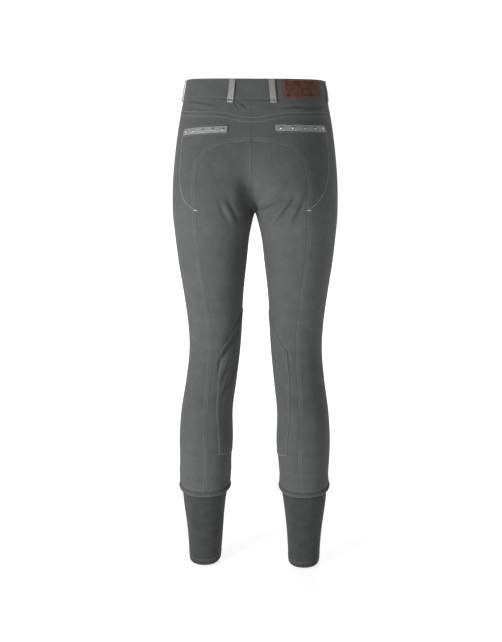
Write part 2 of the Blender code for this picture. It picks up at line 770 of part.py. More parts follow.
def make_hem_rolls(angles):
    """The thick seam at the foot of the leg, a ring that stands out over the cuff."""
    around = np.linspace(0, 2 * np.pi, ROLL_POINTS, endpoint=False)
    out = SEAM_GAP + ROLL_DEPTH / 2 * (1 + np.cos(around))
    up = ROLL_HEIGHT / 2 * np.sin(around)
    for word, side in SIDES.items():
        heights = roll_middle(angles)
        points, normals = wall(side, angles, heights)
        ring = points[:, None] + normals[:, None] * out[None, :, None]
        ring[..., 2] += up
        loops, steps = ring.shape[:2]
        faces = [
            [
                i * steps + j,
                (i + 1) % loops * steps + j,
                (i + 1) % loops * steps + (j + 1) % steps,
                i * steps + (j + 1) % steps,
            ]
            for i in range(loops)
            for j in range(steps)
        ]
        closed_mesh(f"hem_roll_{word}", ring.reshape(-1, 3), faces, "breech_cloth")


def make_cuffs(angles):
    """Thin stretch tubes, sewn in behind the roll and open at the hem."""
    fall = even(CUFF_ROWS)[:, None]
    top = roll_middle(angles) - SEAM_GAP
    heights = top + (hem(angles) - top) * fall
    for word, side in SIDES.items():
        points, normals = wall(side, angles + 0 * heights, heights)
        shell(f"cuff_{word}", points, normals, CUFF_CLOTH, "cuff_jersey", -CUFF_TUCK, tube=True)


# ----------------------------------------------------------------------------- building


def clear_scene():
    for old in list(bpy.data.objects):
        bpy.data.objects.remove(old)


def make_material(name, colour, roughness, metallic):
    material = bpy.data.materials.new(name)
    material.use_nodes = True
    shader = material.node_tree.nodes["Principled BSDF"]
    shader.inputs["Base Color"].default_value = (*colour, 1)
    shader.inputs["Roughness"].default_value = roughness
    shader.inputs["Metallic"].default_value = metallic
    return material


clear_scene()
MATERIALS = {name: make_material(name, *finish) for name, finish in FINISHES.items()}
PARTS = bpy.data.collections.new("riding_breeches")
bpy.context.scene.collection.children.link(PARTS)

make_waistband()
make_yokes()
back_angles = make_back_legs_and_seats()
front_layout = make_front_legs()
ring_angles = np.concatenate([back_angles, front_layout[-1, -2:0:-1, 0]])
make_fly(front_layout)
make_knee_patches()
make_loops()
make_leather_patch()
make_welts()
make_hem_rolls(ring_angles)
make_cuffs(ring_angles)
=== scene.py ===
# %% [markdown]
# # Riding breeches, seen from behind
#
# Full-seat riding breeches of grey stretch twill, standing as they are worn, with nobody
# in them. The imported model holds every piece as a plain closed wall. This lesson gives
# each of those pieces its real surface: seams with stitched allowances, folds, weave,
# silver trim, stones, leather and thin jersey cuffs.
#
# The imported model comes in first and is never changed. Its box is kept, because the
# dressed breeches must stay the same size.

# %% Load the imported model
from collections import namedtuple

import bpy
import numpy as np
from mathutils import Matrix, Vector


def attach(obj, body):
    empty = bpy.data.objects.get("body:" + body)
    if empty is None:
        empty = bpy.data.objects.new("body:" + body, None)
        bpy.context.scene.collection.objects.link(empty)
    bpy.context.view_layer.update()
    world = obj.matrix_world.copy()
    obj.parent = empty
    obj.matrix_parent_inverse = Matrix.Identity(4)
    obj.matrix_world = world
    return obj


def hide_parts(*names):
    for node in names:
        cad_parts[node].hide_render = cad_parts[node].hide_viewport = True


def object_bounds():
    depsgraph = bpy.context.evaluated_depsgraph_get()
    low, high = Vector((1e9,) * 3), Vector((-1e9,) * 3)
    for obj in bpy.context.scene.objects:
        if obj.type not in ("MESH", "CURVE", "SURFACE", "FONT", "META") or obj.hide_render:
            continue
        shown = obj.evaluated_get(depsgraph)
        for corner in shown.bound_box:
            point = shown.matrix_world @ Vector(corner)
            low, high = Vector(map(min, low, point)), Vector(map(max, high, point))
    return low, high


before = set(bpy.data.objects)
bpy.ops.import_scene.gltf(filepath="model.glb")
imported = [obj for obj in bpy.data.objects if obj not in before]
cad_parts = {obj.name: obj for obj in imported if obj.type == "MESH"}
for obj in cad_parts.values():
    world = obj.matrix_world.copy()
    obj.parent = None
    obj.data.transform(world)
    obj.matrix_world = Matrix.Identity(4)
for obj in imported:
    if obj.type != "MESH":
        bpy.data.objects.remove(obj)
cad_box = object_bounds()
print("solids in the packed model:", len(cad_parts))

# %% [markdown]
# ## The camera
#
# The back of the breeches faces -Y. A long lens from a little above and a few degrees to
# the right keeps the legs' proportions true. The camera is aimed with a tracking
# rotation: its -Z axis looks along the line to the aim, and its Y axis stays up. The
# lights are aimed in the same way.

# %% Place the camera
CAMERA_TURN = np.radians(3.8)
CAMERA_DISTANCE = 2.6
CAMERA_HEIGHT = 0.20
LENS_MM = 75.98
SENSOR_MM = 36.0
AIM = Vector((-0.0087, 0.0, -0.460))


def turned_to_aim(place):
    """The rotation that looks from a place to the middle of the breeches."""
    return (AIM - Vector(place)).to_track_quat("-Z", "Y").to_euler()


lens = bpy.data.cameras.new("camera")
lens.lens, lens.sensor_width = LENS_MM, SENSOR_MM
camera = bpy.data.objects.new("camera", lens)
camera.location = (
    AIM.x + CAMERA_DISTANCE * np.sin(CAMERA_TURN),
    -CAMERA_DISTANCE * np.cos(CAMERA_TURN),
    CAMERA_HEIGHT,
)
camera.rotation_euler = turned_to_aim(camera.location)
bpy.context.scene.collection.objects.link(camera)
bpy.context.scene.camera = camera
print("camera at", [round(v, 3) for v in camera.location])

# %% [markdown]
# ## Materials in short
#
# The floor, the dome and every finish are small node trees. Adding a node, filling its
# sockets and joining it to the next one takes many lines if written out each time, so a
# class holds the few moves that all of them need. A second class adds what only a
# material has: a shader, places to measure from, colour and fine relief.

# %% Short ways to build node trees
FINISHES = {}


class Tree:
    """A node tree being built, with short ways to add nodes and join them."""

    def __init__(self, owner):
        owner.use_nodes = True
        self.nodes, self.links = owner.node_tree.nodes, owner.node_tree.links

    def node(self, kind, settings=(), **inputs):
        node = self.nodes.new(kind)
        for setting, value in dict(settings).items():
            setattr(node, setting, value)
        for socket, value in inputs.items():
            self.give(node.inputs[socket.replace("_", " ")], value)
        return node

    def give(self, socket, value):
        if isinstance(value, bpy.types.NodeSocket):
            self.links.new(value, socket)
        else:
            socket.default_value = value

    def spread(self, value, low, high, to_low=0.0, to_high=1.0, how="LINEAR"):
        """The value, stretched from one range to another."""
        ends = {"From_Min": low, "From_Max": high, "To_Min": to_low, "To_Max": to_high}
        node = self.node("ShaderNodeMapRange", {"interpolation_type": how}, Value=value, **ends)
        return node.outputs[0]

    def sum(self, a, b, how="ADD"):
        node = self.node("ShaderNodeMath", {"operation": how})
        self.give(node.inputs[0], a)
        self.give(node.inputs[1], b)
        return node.outputs[0]


class Finish(Tree):
    """A material being built."""

    def __init__(self, name, roughness=0.8, metallic=0.0, **sockets):
        self.material = bpy.data.materials.new(name)
        super().__init__(self.material)
        self.shader = self.nodes["Principled BSDF"]
        for socket, value in {"Roughness": roughness, "Metallic": metallic, **sockets}.items():
            self.shade_with(socket.replace("_", " "), value)
        FINISHES[name] = self.material

    def shade_with(self, socket, value):
        self.give(self.shader.inputs[socket], value)

    def in_mm(self, place, stretch=(1, 1, 1)):
        scale = tuple(1000 * v for v in stretch)
        return self.node("ShaderNodeMapping", Vector=place, Scale=scale).outputs[0]

    def flat_mm(self, stretch=(1, 1, 1)):
        """The cloth's own flat measures in millimetres."""
        return self.in_mm(self.node("ShaderNodeUVMap", {"uv_map": "weave"}).outputs["UV"], stretch)

    def space_mm(self):
        return self.in_mm(self.node("ShaderNodeTexCoord").outputs["Object"])

    def noise(self, place, scale, detail=2.0, roughness=0.5):
        sizes = {"Scale": scale, "Detail": detail, "Roughness": roughness}
        return self.node("ShaderNodeTexNoise", Vector=place, **sizes).outputs["Fac"]

    def bands(self, place, way, scale, **more):
        settings = {"wave_type": "BANDS", "bands_direction": way}
        wave = self.node("ShaderNodeTexWave", settings, Vector=place, Scale=scale, **more)
        return wave.outputs["Fac"]

    def colour(self, dark, light, fac):
        """The base colour, from dark to light."""
        node = self.node("ShaderNodeMix", {"data_type": "RGBA"}, Factor=fac)
        self.give(node.inputs[6], (*dark, 1))
        self.give(node.inputs[7], (*light, 1))
        self.shade_with("Base Color", node.outputs[2])

    def relief(self, height, depth, strength=1.0):
        """Fine surface relief: a depth in metres."""
        bump = self.node("ShaderNodeBump", Height=height, Strength=strength, Distance=depth)
        self.shade_with("Normal", bump.outputs[0])


print("node classes:", Tree.__name__, Finish.__name__)

# %% [markdown]
# ## Floor and light
#
# A pale floor lies just under the hems. It glows faintly, less so close to the breeches
# and on the near side, so the background is white but little light comes up from below.
# The dimmer glow close to the breeches is a painted shadow round the hems.
# A small soft light close on the left models the cloth, a weak one far out on the right
# keeps the shaded side from going dull, and a third one lights the far side. A dome that
# is white along the horizon, dimmer on the near side and grey overhead fills in the rest.

# %% Lay the floor
FLOOR_GAP = 0.004
FLOOR_SIZE = 400.0
FLOOR_GREY = (0.50, 0.50, 0.50, 1)
LEAST_GLOW = 0.48


def make_stage_floor():
    height = cad_box[0][2] - FLOOR_GAP
    half = FLOOR_SIZE / 2
    corners = [(x * half, y * half, height) for x, y in ((-1, -1), (1, -1), (1, 1), (-1, 1))]
    mesh = bpy.data.meshes.new("floor")
    mesh.from_pydata(corners, [], [(0, 1, 2, 3)])
    paint = Finish("pale floor", 0.95, Base_Color=FLOOR_GREY, Emission_Color=(1, 1, 1, 1))
    place = paint.node("ShaderNodeTexCoord").outputs["Object"]
    far = paint.node("ShaderNodeVectorMath", {"operation": "LENGTH"}, Vector=place).outputs["Value"]
    back = paint.node("ShaderNodeSeparateXYZ", Vector=place).outputs["Y"]
    # painted shadow: the glow is weaker close to the breeches, a shade painted round the hems
    glow = paint.spread(far, 0.3, 1.6, LEAST_GLOW, 1.0, "SMOOTHSTEP")
    side = paint.spread(back, -2.4, -0.45, LEAST_GLOW, 1.0, "SMOOTHSTEP")
    paint.shade_with("Emission Strength", paint.sum(glow, side, "MULTIPLY"))
    mesh.materials.append(paint.material)
    floor = bpy.data.objects.new("floor", mesh)
    bpy.context.scene.collection.objects.link(floor)
    return floor


floor = make_stage_floor()
print("floor at", round(floor.data.vertices[0].co.z, 3))


# %% Hang the light and the dome
def soft_light(name, place, size, power):
    """A square soft light that faces the middle of the breeches."""
    data = bpy.data.lights.new(name, "AREA")
    data.shape, data.size, data.energy = "SQUARE", size, power
    light = bpy.data.objects.new(name, data)
    light.location, light.rotation_euler = place, turned_to_aim(place)
    bpy.context.scene.collection.objects.link(light)


soft_light("key from the left", (-1.16, -1.24, -0.42), 0.7, 31.5)
soft_light("weak light from the right", (2.50, -1.00, 0.1), 1.2, 6)
soft_light("light for the far side", (-0.4, 3.0, 0.7), 1.6, 55)


def make_dome(horizon=0.92, overhead=0.21, near_side=0.52):
    """White along the far horizon, dimmer on the near side, grey overhead."""
    world = bpy.data.worlds.new("dome")
    sky = Tree(world)
    background = sky.nodes["Background"]
    sky.give(background.inputs["Color"], (1, 1, 1, 1))
    ray = sky.node("ShaderNodeTexCoord").outputs["Generated"]
    way = sky.node("ShaderNodeSeparateXYZ", Vector=ray)
    glow = sky.spread(way.outputs["Z"], 0.02, 0.34, horizon, overhead, "SMOOTHSTEP")
    side = sky.spread(way.outputs["Y"], -0.75, 0.45, near_side, 1.0, "SMOOTHSTEP")
    sky.give(background.inputs["Strength"], sky.sum(glow, side, "MULTIPLY"))
    bpy.context.scene.world = world


make_dome()
bpy.context.scene.view_settings.view_transform = "Standard"

# %% [markdown]
# ## The form under the cloth
#
# Each leg is a stack of rings. A table has a row for each ring, in millimetres: its
# height, then its inner, outer, middle, front and back. The two legs melt into one body
# above the fork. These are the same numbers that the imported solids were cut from, so a
# finer surface made with them lies exactly on the solid walls.
#
# A place on the cloth is named by an angle round the leg and a height. The side seam is
# at 0, the inseam at 180 and the back has positive angles.

# %% The rings of a leg
SECTIONS_MM = (
    (30, -52, 126.2, 0, 88, -94),
    (-20, -50, 135.2, 0, 95, -100),
    (-80, -44, 146.5, -2, 100, -112),
    (-140, -32, 154.2, -5, 101, -122),
    (-190, -16, 158, -6, 99, -125),
    (-225, -3.3, 158.6, -5, 95, -120),
    (-250, 3.8, 158.3, -3, 91, -112),
    (-280, 10.8, 156, 0, 88, -100),
    (-340, 17.8, 150.2, 4, 87, -84),
    (-400, 24.2, 141.8, 8, 83, -71),
    (-460, 28, 134.5, 11, 78, -60),
    (-520, 32.2, 132, 10, 69, -53),
    (-580, 38.8, 138, -1, 55, -60),
    (-640, 45.8, 146.8, -14, 40, -74),
    (-700, 45.2, 150.6, -20, 31, -82),
    (-760, 49.8, 148.5, -22, 24, -79),
    (-800, 54.5, 146.2, -23, 20, -75),
    (-830, 59, 143.6, -24, 15, -71),
    (-880, 65, 137.5, -26, 11, -67),
    (-960, 70, 132, -28, 6, -64),
)
ROWS = np.array(SECTIONS_MM)[::-1] / 1000
ROW_HEIGHTS, ROW_SIZES = ROWS[:, 0], ROWS[:, 1:]
ROW_SLOPES = np.gradient(ROW_SIZES, ROW_HEIGHTS, axis=0)
print("rings of a leg:", len(ROWS))


def leg_sizes(z):
    """Inner, outer, middle, front and back of one leg, smooth between the table's rows."""
    row = np.clip(np.searchsorted(ROW_HEIGHTS, z) - 1, 0, len(ROW_HEIGHTS) - 2)
    step = ROW_HEIGHTS[row + 1] - ROW_HEIGHTS[row]
    t = np.clip((z - ROW_HEIGHTS[row]) / step, 0, 1)[..., None]
    step = step[..., None]
    low, high = ROW_SIZES[row], ROW_SIZES[row + 1]
    rise, fall = ROW_SLOPES[row] * step, ROW_SLOPES[row + 1] * step
    sizes = (
        (2 * t**3 - 3 * t**2 + 1) * low
        + (t**3 - 2 * t**2 + t) * rise
        + (3 * t**2 - 2 * t**3) * high
        + (t**3 - t**2) * fall
    )
    return np.moveaxis(sizes, -1, 0)


# %% Melt the two legs together above the fork
ROUNDNESS = 2.25
FORK_BLEND = 0.018
WAIST_BLEND = 0.160
BLEND_BOTTOM = -0.262
BLEND_TOP = -0.110


class Ring:
    """The outline of the breeches at each of an array's heights."""

    def __init__(self, z):
        self.inner, self.outer, self.middle, self.front, self.back = leg_sizes(z)
        self.centre = (self.inner + self.outer) / 2
        t = np.clip((z - BLEND_BOTTOM) / (BLEND_TOP - BLEND_BOTTOM), 0, 1)
        self.blend = FORK_BLEND + WAIST_BLEND * t * t * (3 - 2 * t)

    def level(self, x, y):
        """1 on the wall, less inside it."""
        depth = np.where(y > self.middle, self.front - self.middle, self.middle - self.back)
        along = np.abs((y - self.middle) / depth) ** ROUNDNESS
        half = (self.outer - self.inner) / 2
        near, far = (
            (np.abs((s * x - self.centre) / half) ** ROUNDNESS + along) ** (1 / ROUNDNESS)
            for s in (1, -1)
        )
        melt = np.log1p(np.exp(-np.abs(near - far) / self.blend))
        return np.minimum(near, far) - self.blend * melt


def walk_out(level_at, reach, halvings=28):
    """How far out from inside the form its wall is, by halving."""
    low, high = np.zeros_like(reach), reach
    for _ in range(halvings):
        middle = (low + high) / 2
        inside = level_at(middle) < 1
        low, high = np.where(inside, middle, low), np.where(inside, high, middle)
    return (low + high) / 2


# %% [markdown]
# ## Folds
#
# Stretch cloth lies close, so its folds are few and soft: pulls that fan out from the
# fork, slanting folds at the hollow of the knee, and small drag lines under the
# waistband. A simulation would put them anywhere, so each one is given as a line of
# marks. A mark is an angle in degrees and a height in millimetres, and all other sizes
# in the tables are millimetres too. Across its line a fold is a trough with a low ridge
# beside it, and it fades at both ends.

# %% The folds, one by one
Crease = namedtuple("Crease", "side angle height lean length width depth")
CREASES_MM = (
    (-1, 128, -486, 33, 42, 16, -3.8),
    (-1, 112, -470, 30, 45, 11, 1.6),
    (-1, 140, -548, 40, 36, 15, -2.4),
    (-1, 50, -446, -38, 26, 10, -1.4),
    (-1, 135, -232, 58, 36, 12, -2.2),
    (1, 138, -235, 50, 40, 12, -2.4),
    (1, 118, -214, 40, 32, 11, -1.6),
    (1, 140, -500, 38, 34, 15, -2.2),
    (1, 128, -575, 30, 32, 14, -1.8),
    (1, -128, -215, -55, 50, 13, -2.6),
    (-1, -124, -222, -60, 46, 13, -2.4),
    (1, -95, -452, 74, 34, 12, -1.8),
    (-1, -88, -470, -76, 30, 12, -1.7),
    (1, -96, -905, 82, 26, 11, -2),
    (-1, -84, -890, -80, 24, 11, -1.8),
    (-1, 176, -900, 0, 50, 30, 2.4),
    (1, 104, -198.5, -55, 30, 11, -3.4),
    (-1, 107, -200, -50, 24, 11, -2.4),
    (-1, 6, -768, 0, 22, 30, 2.8),
    (-1, 176, -768, 0, 22, 30, 3),
)
CREASES = [
    Crease(side, angle, height / 1000, lean, *(size / 1000 for size in sizes))
    for side, angle, height, lean, *sizes in CREASES_MM
]
ARC_PER_DEGREE = 0.00135

Fold = namedtuple("Fold", "side marks width depth ridge", defaults=(0.55,))
FOLDS_MM = (
    # the hollow of the left knee
    (-1, ((144, -478), (128, -497), (114, -514), (107, -529), (106, -552)), 4.6, 4.6, 0.2),
    (-1, ((140, -511), (122, -525), (115, -543)), 3.6, -1.8, 0),
    (-1, ((136, -532), (120, -555), (114, -568)), 3.6, 2.4, 0),
    (-1, ((137, -548), (124, -569), (116, -590)), 3.6, -1.8, 0),
    (-1, ((140, -570), (127, -585), (119, -601)), 4.6, 2.6, 0),
    (-1, ((80, -426), (66, -446), (46, -466)), 4.4, 1),
    (-1, ((70, -486), (48, -492), (26, -484)), 6, 1),
    # the hollow of the right knee
    (1, ((146, -462), (128, -482), (113, -505)), 6, 1),
    (1, ((106, -500), (104, -512), (102, -528)), 4, 1.2),
    (1, ((82, -452), (62, -470), (40, -474)), 6, 0.8),
    # pulls that fan out from the fork, right leg: troughs, then ridges
    (1, ((140, -224), (118, -213), (106, -203), (96, -192)), 4.2, 3.4, 0),
    (1, ((128, -235), (113, -223), (104, -214), (97, -203), (91, -192)), 3.4, 3.2, 0),
    (1, ((114, -255), (103, -235), (94, -215), (87, -199), (83, -188)), 3.8, 5.4, 0),
    (1, ((92, -242), (84, -220), (79, -200)), 3.6, 3.4, 0),
    (1, ((140, -232), (118, -220), (106, -210), (99, -201)), 3.4, -3, 0),
    (1, ((120, -257), (107, -232), (98, -211), (89, -190)), 4.2, -4, 0),
    (1, ((99, -256), (90, -226), (84, -207), (78.5, -188)), 4, -3.6, 0),
    # pulls that fan out from the fork, left leg: a hollow, troughs, a ridge
    (-1, ((116, -160), (120.5, -183), (126, -203), (137, -232)), 10.5, 7.5, 0.15),
    (-1, ((106, -203), (113, -222), (124, -249)), 3.4, 2.4, 0),
    (-1, ((97, -200), (102, -221), (110, -244)), 3.4, 2.4, 0),
    (-1, ((101, -202), (108, -224), (120, -257)), 3.6, -1.3, 0),
    # the cleft along the centre seam, the same on both sides
    (1, ((122, -160), (126, -180), (134, -204), (146, -223), (160, -234)), 6.2, 4.2, 0),
    (-1, ((122, -160), (126, -180), (134, -204), (146, -223), (160, -234)), 6.2, 4.2, 0),
    # hip and band
    (-1, ((94.4, -18), (97, -24), (100, -31)), 1.6, 1.2),
    (-1, ((97, -17.5), (101, -22.5), (106, -29)), 1.6, 1.2),
    (-1, ((102, -17.5), (105, -24.5), (108.5, -33)), 1.6, 1),
    (-1, ((84, -16.8), (98, -16.8), (113, -17)), 1.3, 0.9),
    (1, ((84, -16.8), (98, -16.8), (113, -17)), 1.3, 0.9),
    (-1, ((34, -24), (54, -22), (76, -26)), 3, 0.9),
    (-1, ((34, -36), (54, -34.5), (72, -35.5)), 3, 0.7),
    (1, ((60, -26), (72, -29), (88, -31)), 3, 0.8),
    (1, ((26, -30), (48, -33), (70, -30)), 3.4, 0.7),
    (1, ((43, -200), (42, -228), (41, -258)), 9, 1),
    (-1, ((30, -214), (27, -240), (24, -272)), 9, 0.7),
    # calves
    (-1, ((60, -640), (88, -652), (112, -646)), 9, 0.5),
    (1, ((52, -655), (84, -664), (110, -655)), 9, 0.5),
    # the front, much like the back
    (1, ((-172, -258), (-150, -236), (-126, -206)), 6.5, 1.4),
    (1, ((-168, -276), (-140, -262), (-116, -238)), 8, 1),
    (1, ((-126, -184), (-112, -166), (-94, -150)), 8, 0.7),
    (-1, ((-172, -256), (-148, -240), (-122, -212)), 6.5, 1.3),
    (-1, ((-166, -280), (-138, -266), (-110, -246)), 8, 0.9),
    (-1, ((-122, -190), (-108, -174), (-90, -160)), 8, 0.6),
    (1, ((-70, -440), (-96, -450), (-122, -440)), 8, 0.9),
    (1, ((-76, -545), (-100, -552), (-126, -540)), 9, 0.7),
    (-1, ((-66, -456), (-92, -468), (-118, -458)), 8, 0.9),
    (-1, ((-72, -560), (-98, -566), (-120, -552)), 9, 0.6),
    # the thin cuffs
    (1, ((104, -814), (91, -816), (79, -816)), 3, 0.8),
    (1, ((100, -820.5), (90, -820.5), (79, -819)), 2.4, 0.7),
    (1, ((148, -860), (122, -860.5), (98, -860), (72, -866.5)), 3.6, 1.3),
    (1, ((60, -838), (42, -842), (20, -838)), 4, 0.6),
    (1, ((70, -892), (95, -898), (122, -894)), 5, 0.5),
    (1, ((150, -934), (124, -939), (98, -938)), 4, 0.6),
    (-1, ((68, -858), (98, -863), (130, -861)), 4.2, 0.6),
    (-1, ((74, -876), (104, -881), (140, -881)), 4.5, 0.6),
    (-1, ((70, -894), (101, -897), (133, -898)), 4.5, 0.6),
    (-1, ((110, -818), (86, -822), (60, -820)), 3.6, 0.6),
    (-1, ((58, -932), (86, -936), (112, -934)), 4.5, 0.5),
    (1, ((-60, -826), (-92, -830), (-128, -824)), 4.5, 0.7),
    (1, ((-70, -868), (-100, -872), (-130, -866)), 5, 0.6),
    (-1, ((-56, -830), (-90, -834), (-124, -828)), 4.5, 0.7),
    (-1, ((-64, -872), (-98, -878), (-126, -872)), 5, 0.6),
)
FOLDS = [
    Fold(side, marks, width / 1000, depth / 1000, *ridge)
    for side, marks, width, depth, *ridge in FOLDS_MM
]
print("broad creases:", len(CREASES), "fine folds:", len(FOLDS))


# %% How far the folds move the cloth
def curve(marks, per_span=60):
    """A smooth layout line through marks of degrees and millimetres."""
    rows = np.array(marks, float) / (1, 1000)
    rows = np.vstack([2 * rows[0] - rows[1], rows, 2 * rows[-1] - rows[-2]])
    t = np.linspace(0, 1, per_span, endpoint=False)[:, None]
    spans = []
    for before, start, end, after in zip(rows, rows[1:], rows[2:], rows[3:]):
        spans.append(
            start
            + t * (end - before) / 2
            + t**2 * (before - 2.5 * start + 2 * end - after / 2)
            + t**3 * (1.5 * (start - end) + (after - before) / 2)
        )
    return np.vstack([*spans, rows[-2:-1]])


def nearest_way(angle, z, middle):
    """The same angles, but counted so that they meet a fold across the inseam."""
    return np.where(z < FORK, middle + (angle - middle + 180) % 360 - 180, angle)


def crease_lift(side, angle, z):
    lift = np.zeros(z.shape)
    for crease in CREASES:
        lean = np.radians(crease.lean)
        round_leg = (nearest_way(angle, z, crease.angle) - crease.angle) * ARC_PER_DEGREE
        up = z - crease.height
        along = up * np.cos(lean) + round_leg * np.sin(lean)
        across = round_leg * np.cos(lean) - up * np.sin(lean)
        soft = np.exp(-((along / crease.length) ** 2) - (across / crease.width) ** 2)
        lift += np.where(side == crease.side, crease.depth * soft, 0)
    return lift


def fold_lift(side, angle, z):
    lift = np.zeros(z.shape)
    for fold in FOLDS:
        line = curve(fold.marks, per_span=12)
        room = 4 * fold.width
        low, high = line.min(0), line.max(0)
        turned = nearest_way(angle, z, line[len(line) // 2, 0])
        room_angle = room / ARC_PER_DEGREE
        near = (side == fold.side) & (z > low[1] - room) & (z < high[1] + room)
        near &= (turned > low[0] - room_angle) & (turned < high[0] + room_angle)
        if not near.any():
            continue
        here = np.stack([turned[near] * ARC_PER_DEGREE, z[near]], -1)
        marks = line * (ARC_PER_DEGREE, 1)
        ahead = np.gradient(marks, axis=0)
        ahead /= np.linalg.norm(ahead, axis=1, keepdims=True)
        closest = ((here[:, None] - marks[None]) ** 2).sum(-1).argmin(1)
        off = here - marks[closest]
        along = (off * ahead[closest]).sum(1)
        across = off[:, 0] * ahead[closest, 1] - off[:, 1] * ahead[closest, 0]
        share = closest / (len(marks) - 1)
        past = np.where((closest == 0) | (closest == len(marks) - 1), along / fold.width, 0)
        strength = (0.25 + 0.75 * np.sin(np.pi * share)) * np.exp(-(past**2))
        q = across / fold.width
        profile = np.exp(-(q**2)) - fold.ridge * np.exp(-(((q - 1.75) / 1.15) ** 2))
        lift[near] -= fold.depth * strength * profile
    return lift


# %% [markdown]
# ## The wall
#
# This is the one function that every piece of cloth uses. From an angle and a height it
# walks out from the middle of the leg to the form's wall, finds which way is out from
# there, and moves the point by the folds. Everything else in the lesson is laid out in
# angles and heights and bent into place here. Just above the rolled hem the cloth also
# swells a little. The right leg's roll sits slightly higher than the left one's.

# %% Bend a layout round the legs
REACH = 0.4
NUDGE = 1e-4
HEM_FLARE = 0.0022
FLARE_START, FLARE_FULL, FLARE_FADE = 0.0025, 0.0058, 0.011
ROLL_SHIFT = 0.0018


def unit(vectors):
    return vectors / np.maximum(np.linalg.norm(vectors, axis=-1, keepdims=True), 1e-12)


def end_angles(z):
    """Where the front and the back of the half ring end: the centre seams, or the inseam."""
    z = np.asarray(z, float)
    ring = Ring(z)
    reach = np.full_like(z, REACH)
    to_front = walk_out(lambda d: ring.level(0 * z, ring.middle + d), reach, 40)
    to_back = walk_out(lambda d: ring.level(0 * z, ring.middle - d), reach, 40)
    joined = ring.level(0 * z, ring.middle) < 1
    front = np.where(joined, np.degrees(np.arctan2(to_front, -ring.centre)), 180.0)
    back = np.where(joined, np.degrees(np.arctan2(to_back, -ring.centre)), 180.0)
    return front, back


def fork_height():
    """Where the legs part: the centre of the form is on its own wall."""
    low, high = BLEND_BOTTOM, BLEND_TOP
    for _ in range(40):
        middle = np.array((low + high) / 2)
        ring = Ring(middle)
        low, high = (low, middle) if ring.level(0 * middle, ring.middle) < 1 else (middle, high)
    return float(high)


FORK = fork_height()
print("the legs part at", round(FORK, 4))


def smooth_wall(side, angle, z):
    """Points on the form before any fold, and the way out from them."""
    side, angle, z = np.broadcast_arrays(*(np.asarray(a, float) for a in (side, angle, z)))
    ring = Ring(z)
    out_x, out_y = np.cos(np.radians(angle)), -np.sin(np.radians(angle))
    to_plane = np.where(out_x < 0, ring.centre / np.maximum(-out_x, NUDGE), REACH)
    reach = np.minimum(to_plane, REACH)
    far = walk_out(lambda d: ring.level(ring.centre + d * out_x, ring.middle + d * out_y), reach)
    x, y = ring.centre + far * out_x, ring.middle + far * out_y
    slopes = [
        ring.level(x + NUDGE, y) - ring.level(x - NUDGE, y),
        ring.level(x, y + NUDGE) - ring.level(x, y - NUDGE),
        Ring(z + NUDGE).level(x, y) - Ring(z - NUDGE).level(x, y),
    ]
    mirror = np.stack([side, np.ones_like(side), np.ones_like(side)], -1)
    return np.stack([x, y, z], -1) * mirror, unit(np.stack(slopes, -1)) * mirror


def soft_step(low, high, value):
    t = np.clip((value - low) / (high - low), 0, 1)
    return t * t * (3 - 2 * t)


def hem_flare(side, angle, z):
    """Just above the rolled hem the leg's cloth swells out over the roll."""
    above = z - roll_middle(angle) - side * ROLL_SHIFT
    fade = np.exp(-((np.clip(above - FLARE_FULL, 0, None) / FLARE_FADE) ** 2))
    return HEM_FLARE * soft_step(FLARE_START, FLARE_FULL, above) * fade


def folds_at(side, angle, z):
    side, angle, z = np.broadcast_arrays(*(np.asarray(a, float) for a in (side, angle, z)))
    return crease_lift(side, angle, z) + fold_lift(side, angle, z) + hem_flare(side, angle, z)


def wall(side, angle, z):
    """Points on the folded cloth's outer face, and the way out from it."""
    points, normals = smooth_wall(side, angle, z)
    return points + normals * folds_at(side, angle, z)[..., None], normals


# %% [markdown]
# ## Seams as lines
#
# Pieces meet along shared lines. Each line is a row of (angle, height) points, thick
# enough to look smooth. Measuring along them in true length lets stitches and mesh rows
# be spaced in millimetres, and a helper shifts a line sideways over the cloth, which is
# how every row of topstitching is drawn.

# %% Lines on the cloth
LINE_STEP = 0.0015
SMALL_TURN, SMALL_RISE = 0.05, 1e-4


def even(count):
    return np.linspace(0, 1, count + 1)


def at_turns(turns, heights):
    """Layout points at a share of the way from the side seam to the centre seam."""
    turns, heights = np.broadcast_arrays(np.asarray(turns, float), np.asarray(heights, float))
    front, back = end_angles(heights)
    return np.stack([turns * np.where(turns < 0, front, back), heights], -1)


def level_line(start, stop, height, count=160):
    return np.stack([np.linspace(start, stop, count), np.full(count, height)], -1)


def run(points):
    """How far each point is from the first one, along the row of points."""
    return np.concatenate([[0], np.cumsum(np.linalg.norm(np.diff(points, axis=0), axis=1))])


def at_lengths(rows, far, where):
    """Rows of numbers that are known at some lengths, read off at other lengths."""
    return np.stack([np.interp(where, far, column) for column in rows.T], -1)


def lengths(line):
    """True length from the start of a line to each of its points."""
    return run(smooth_wall(1, line[:, 0], line[:, 1])[0])


def at_shares(line, shares):
    """Points at these shares of a line's true length."""
    far = lengths(line)
    return at_lengths(line, far, np.asarray(shares) * far[-1])


def between(line, start, stop):
    """The part of a line from one distance along it to another."""
    whole = lengths(line)[-1]
    stop = whole if stop is None else stop
    count = max(int((stop - start) / LINE_STEP), 8)
    return at_shares(line, np.linspace(start, stop, count) / whole)


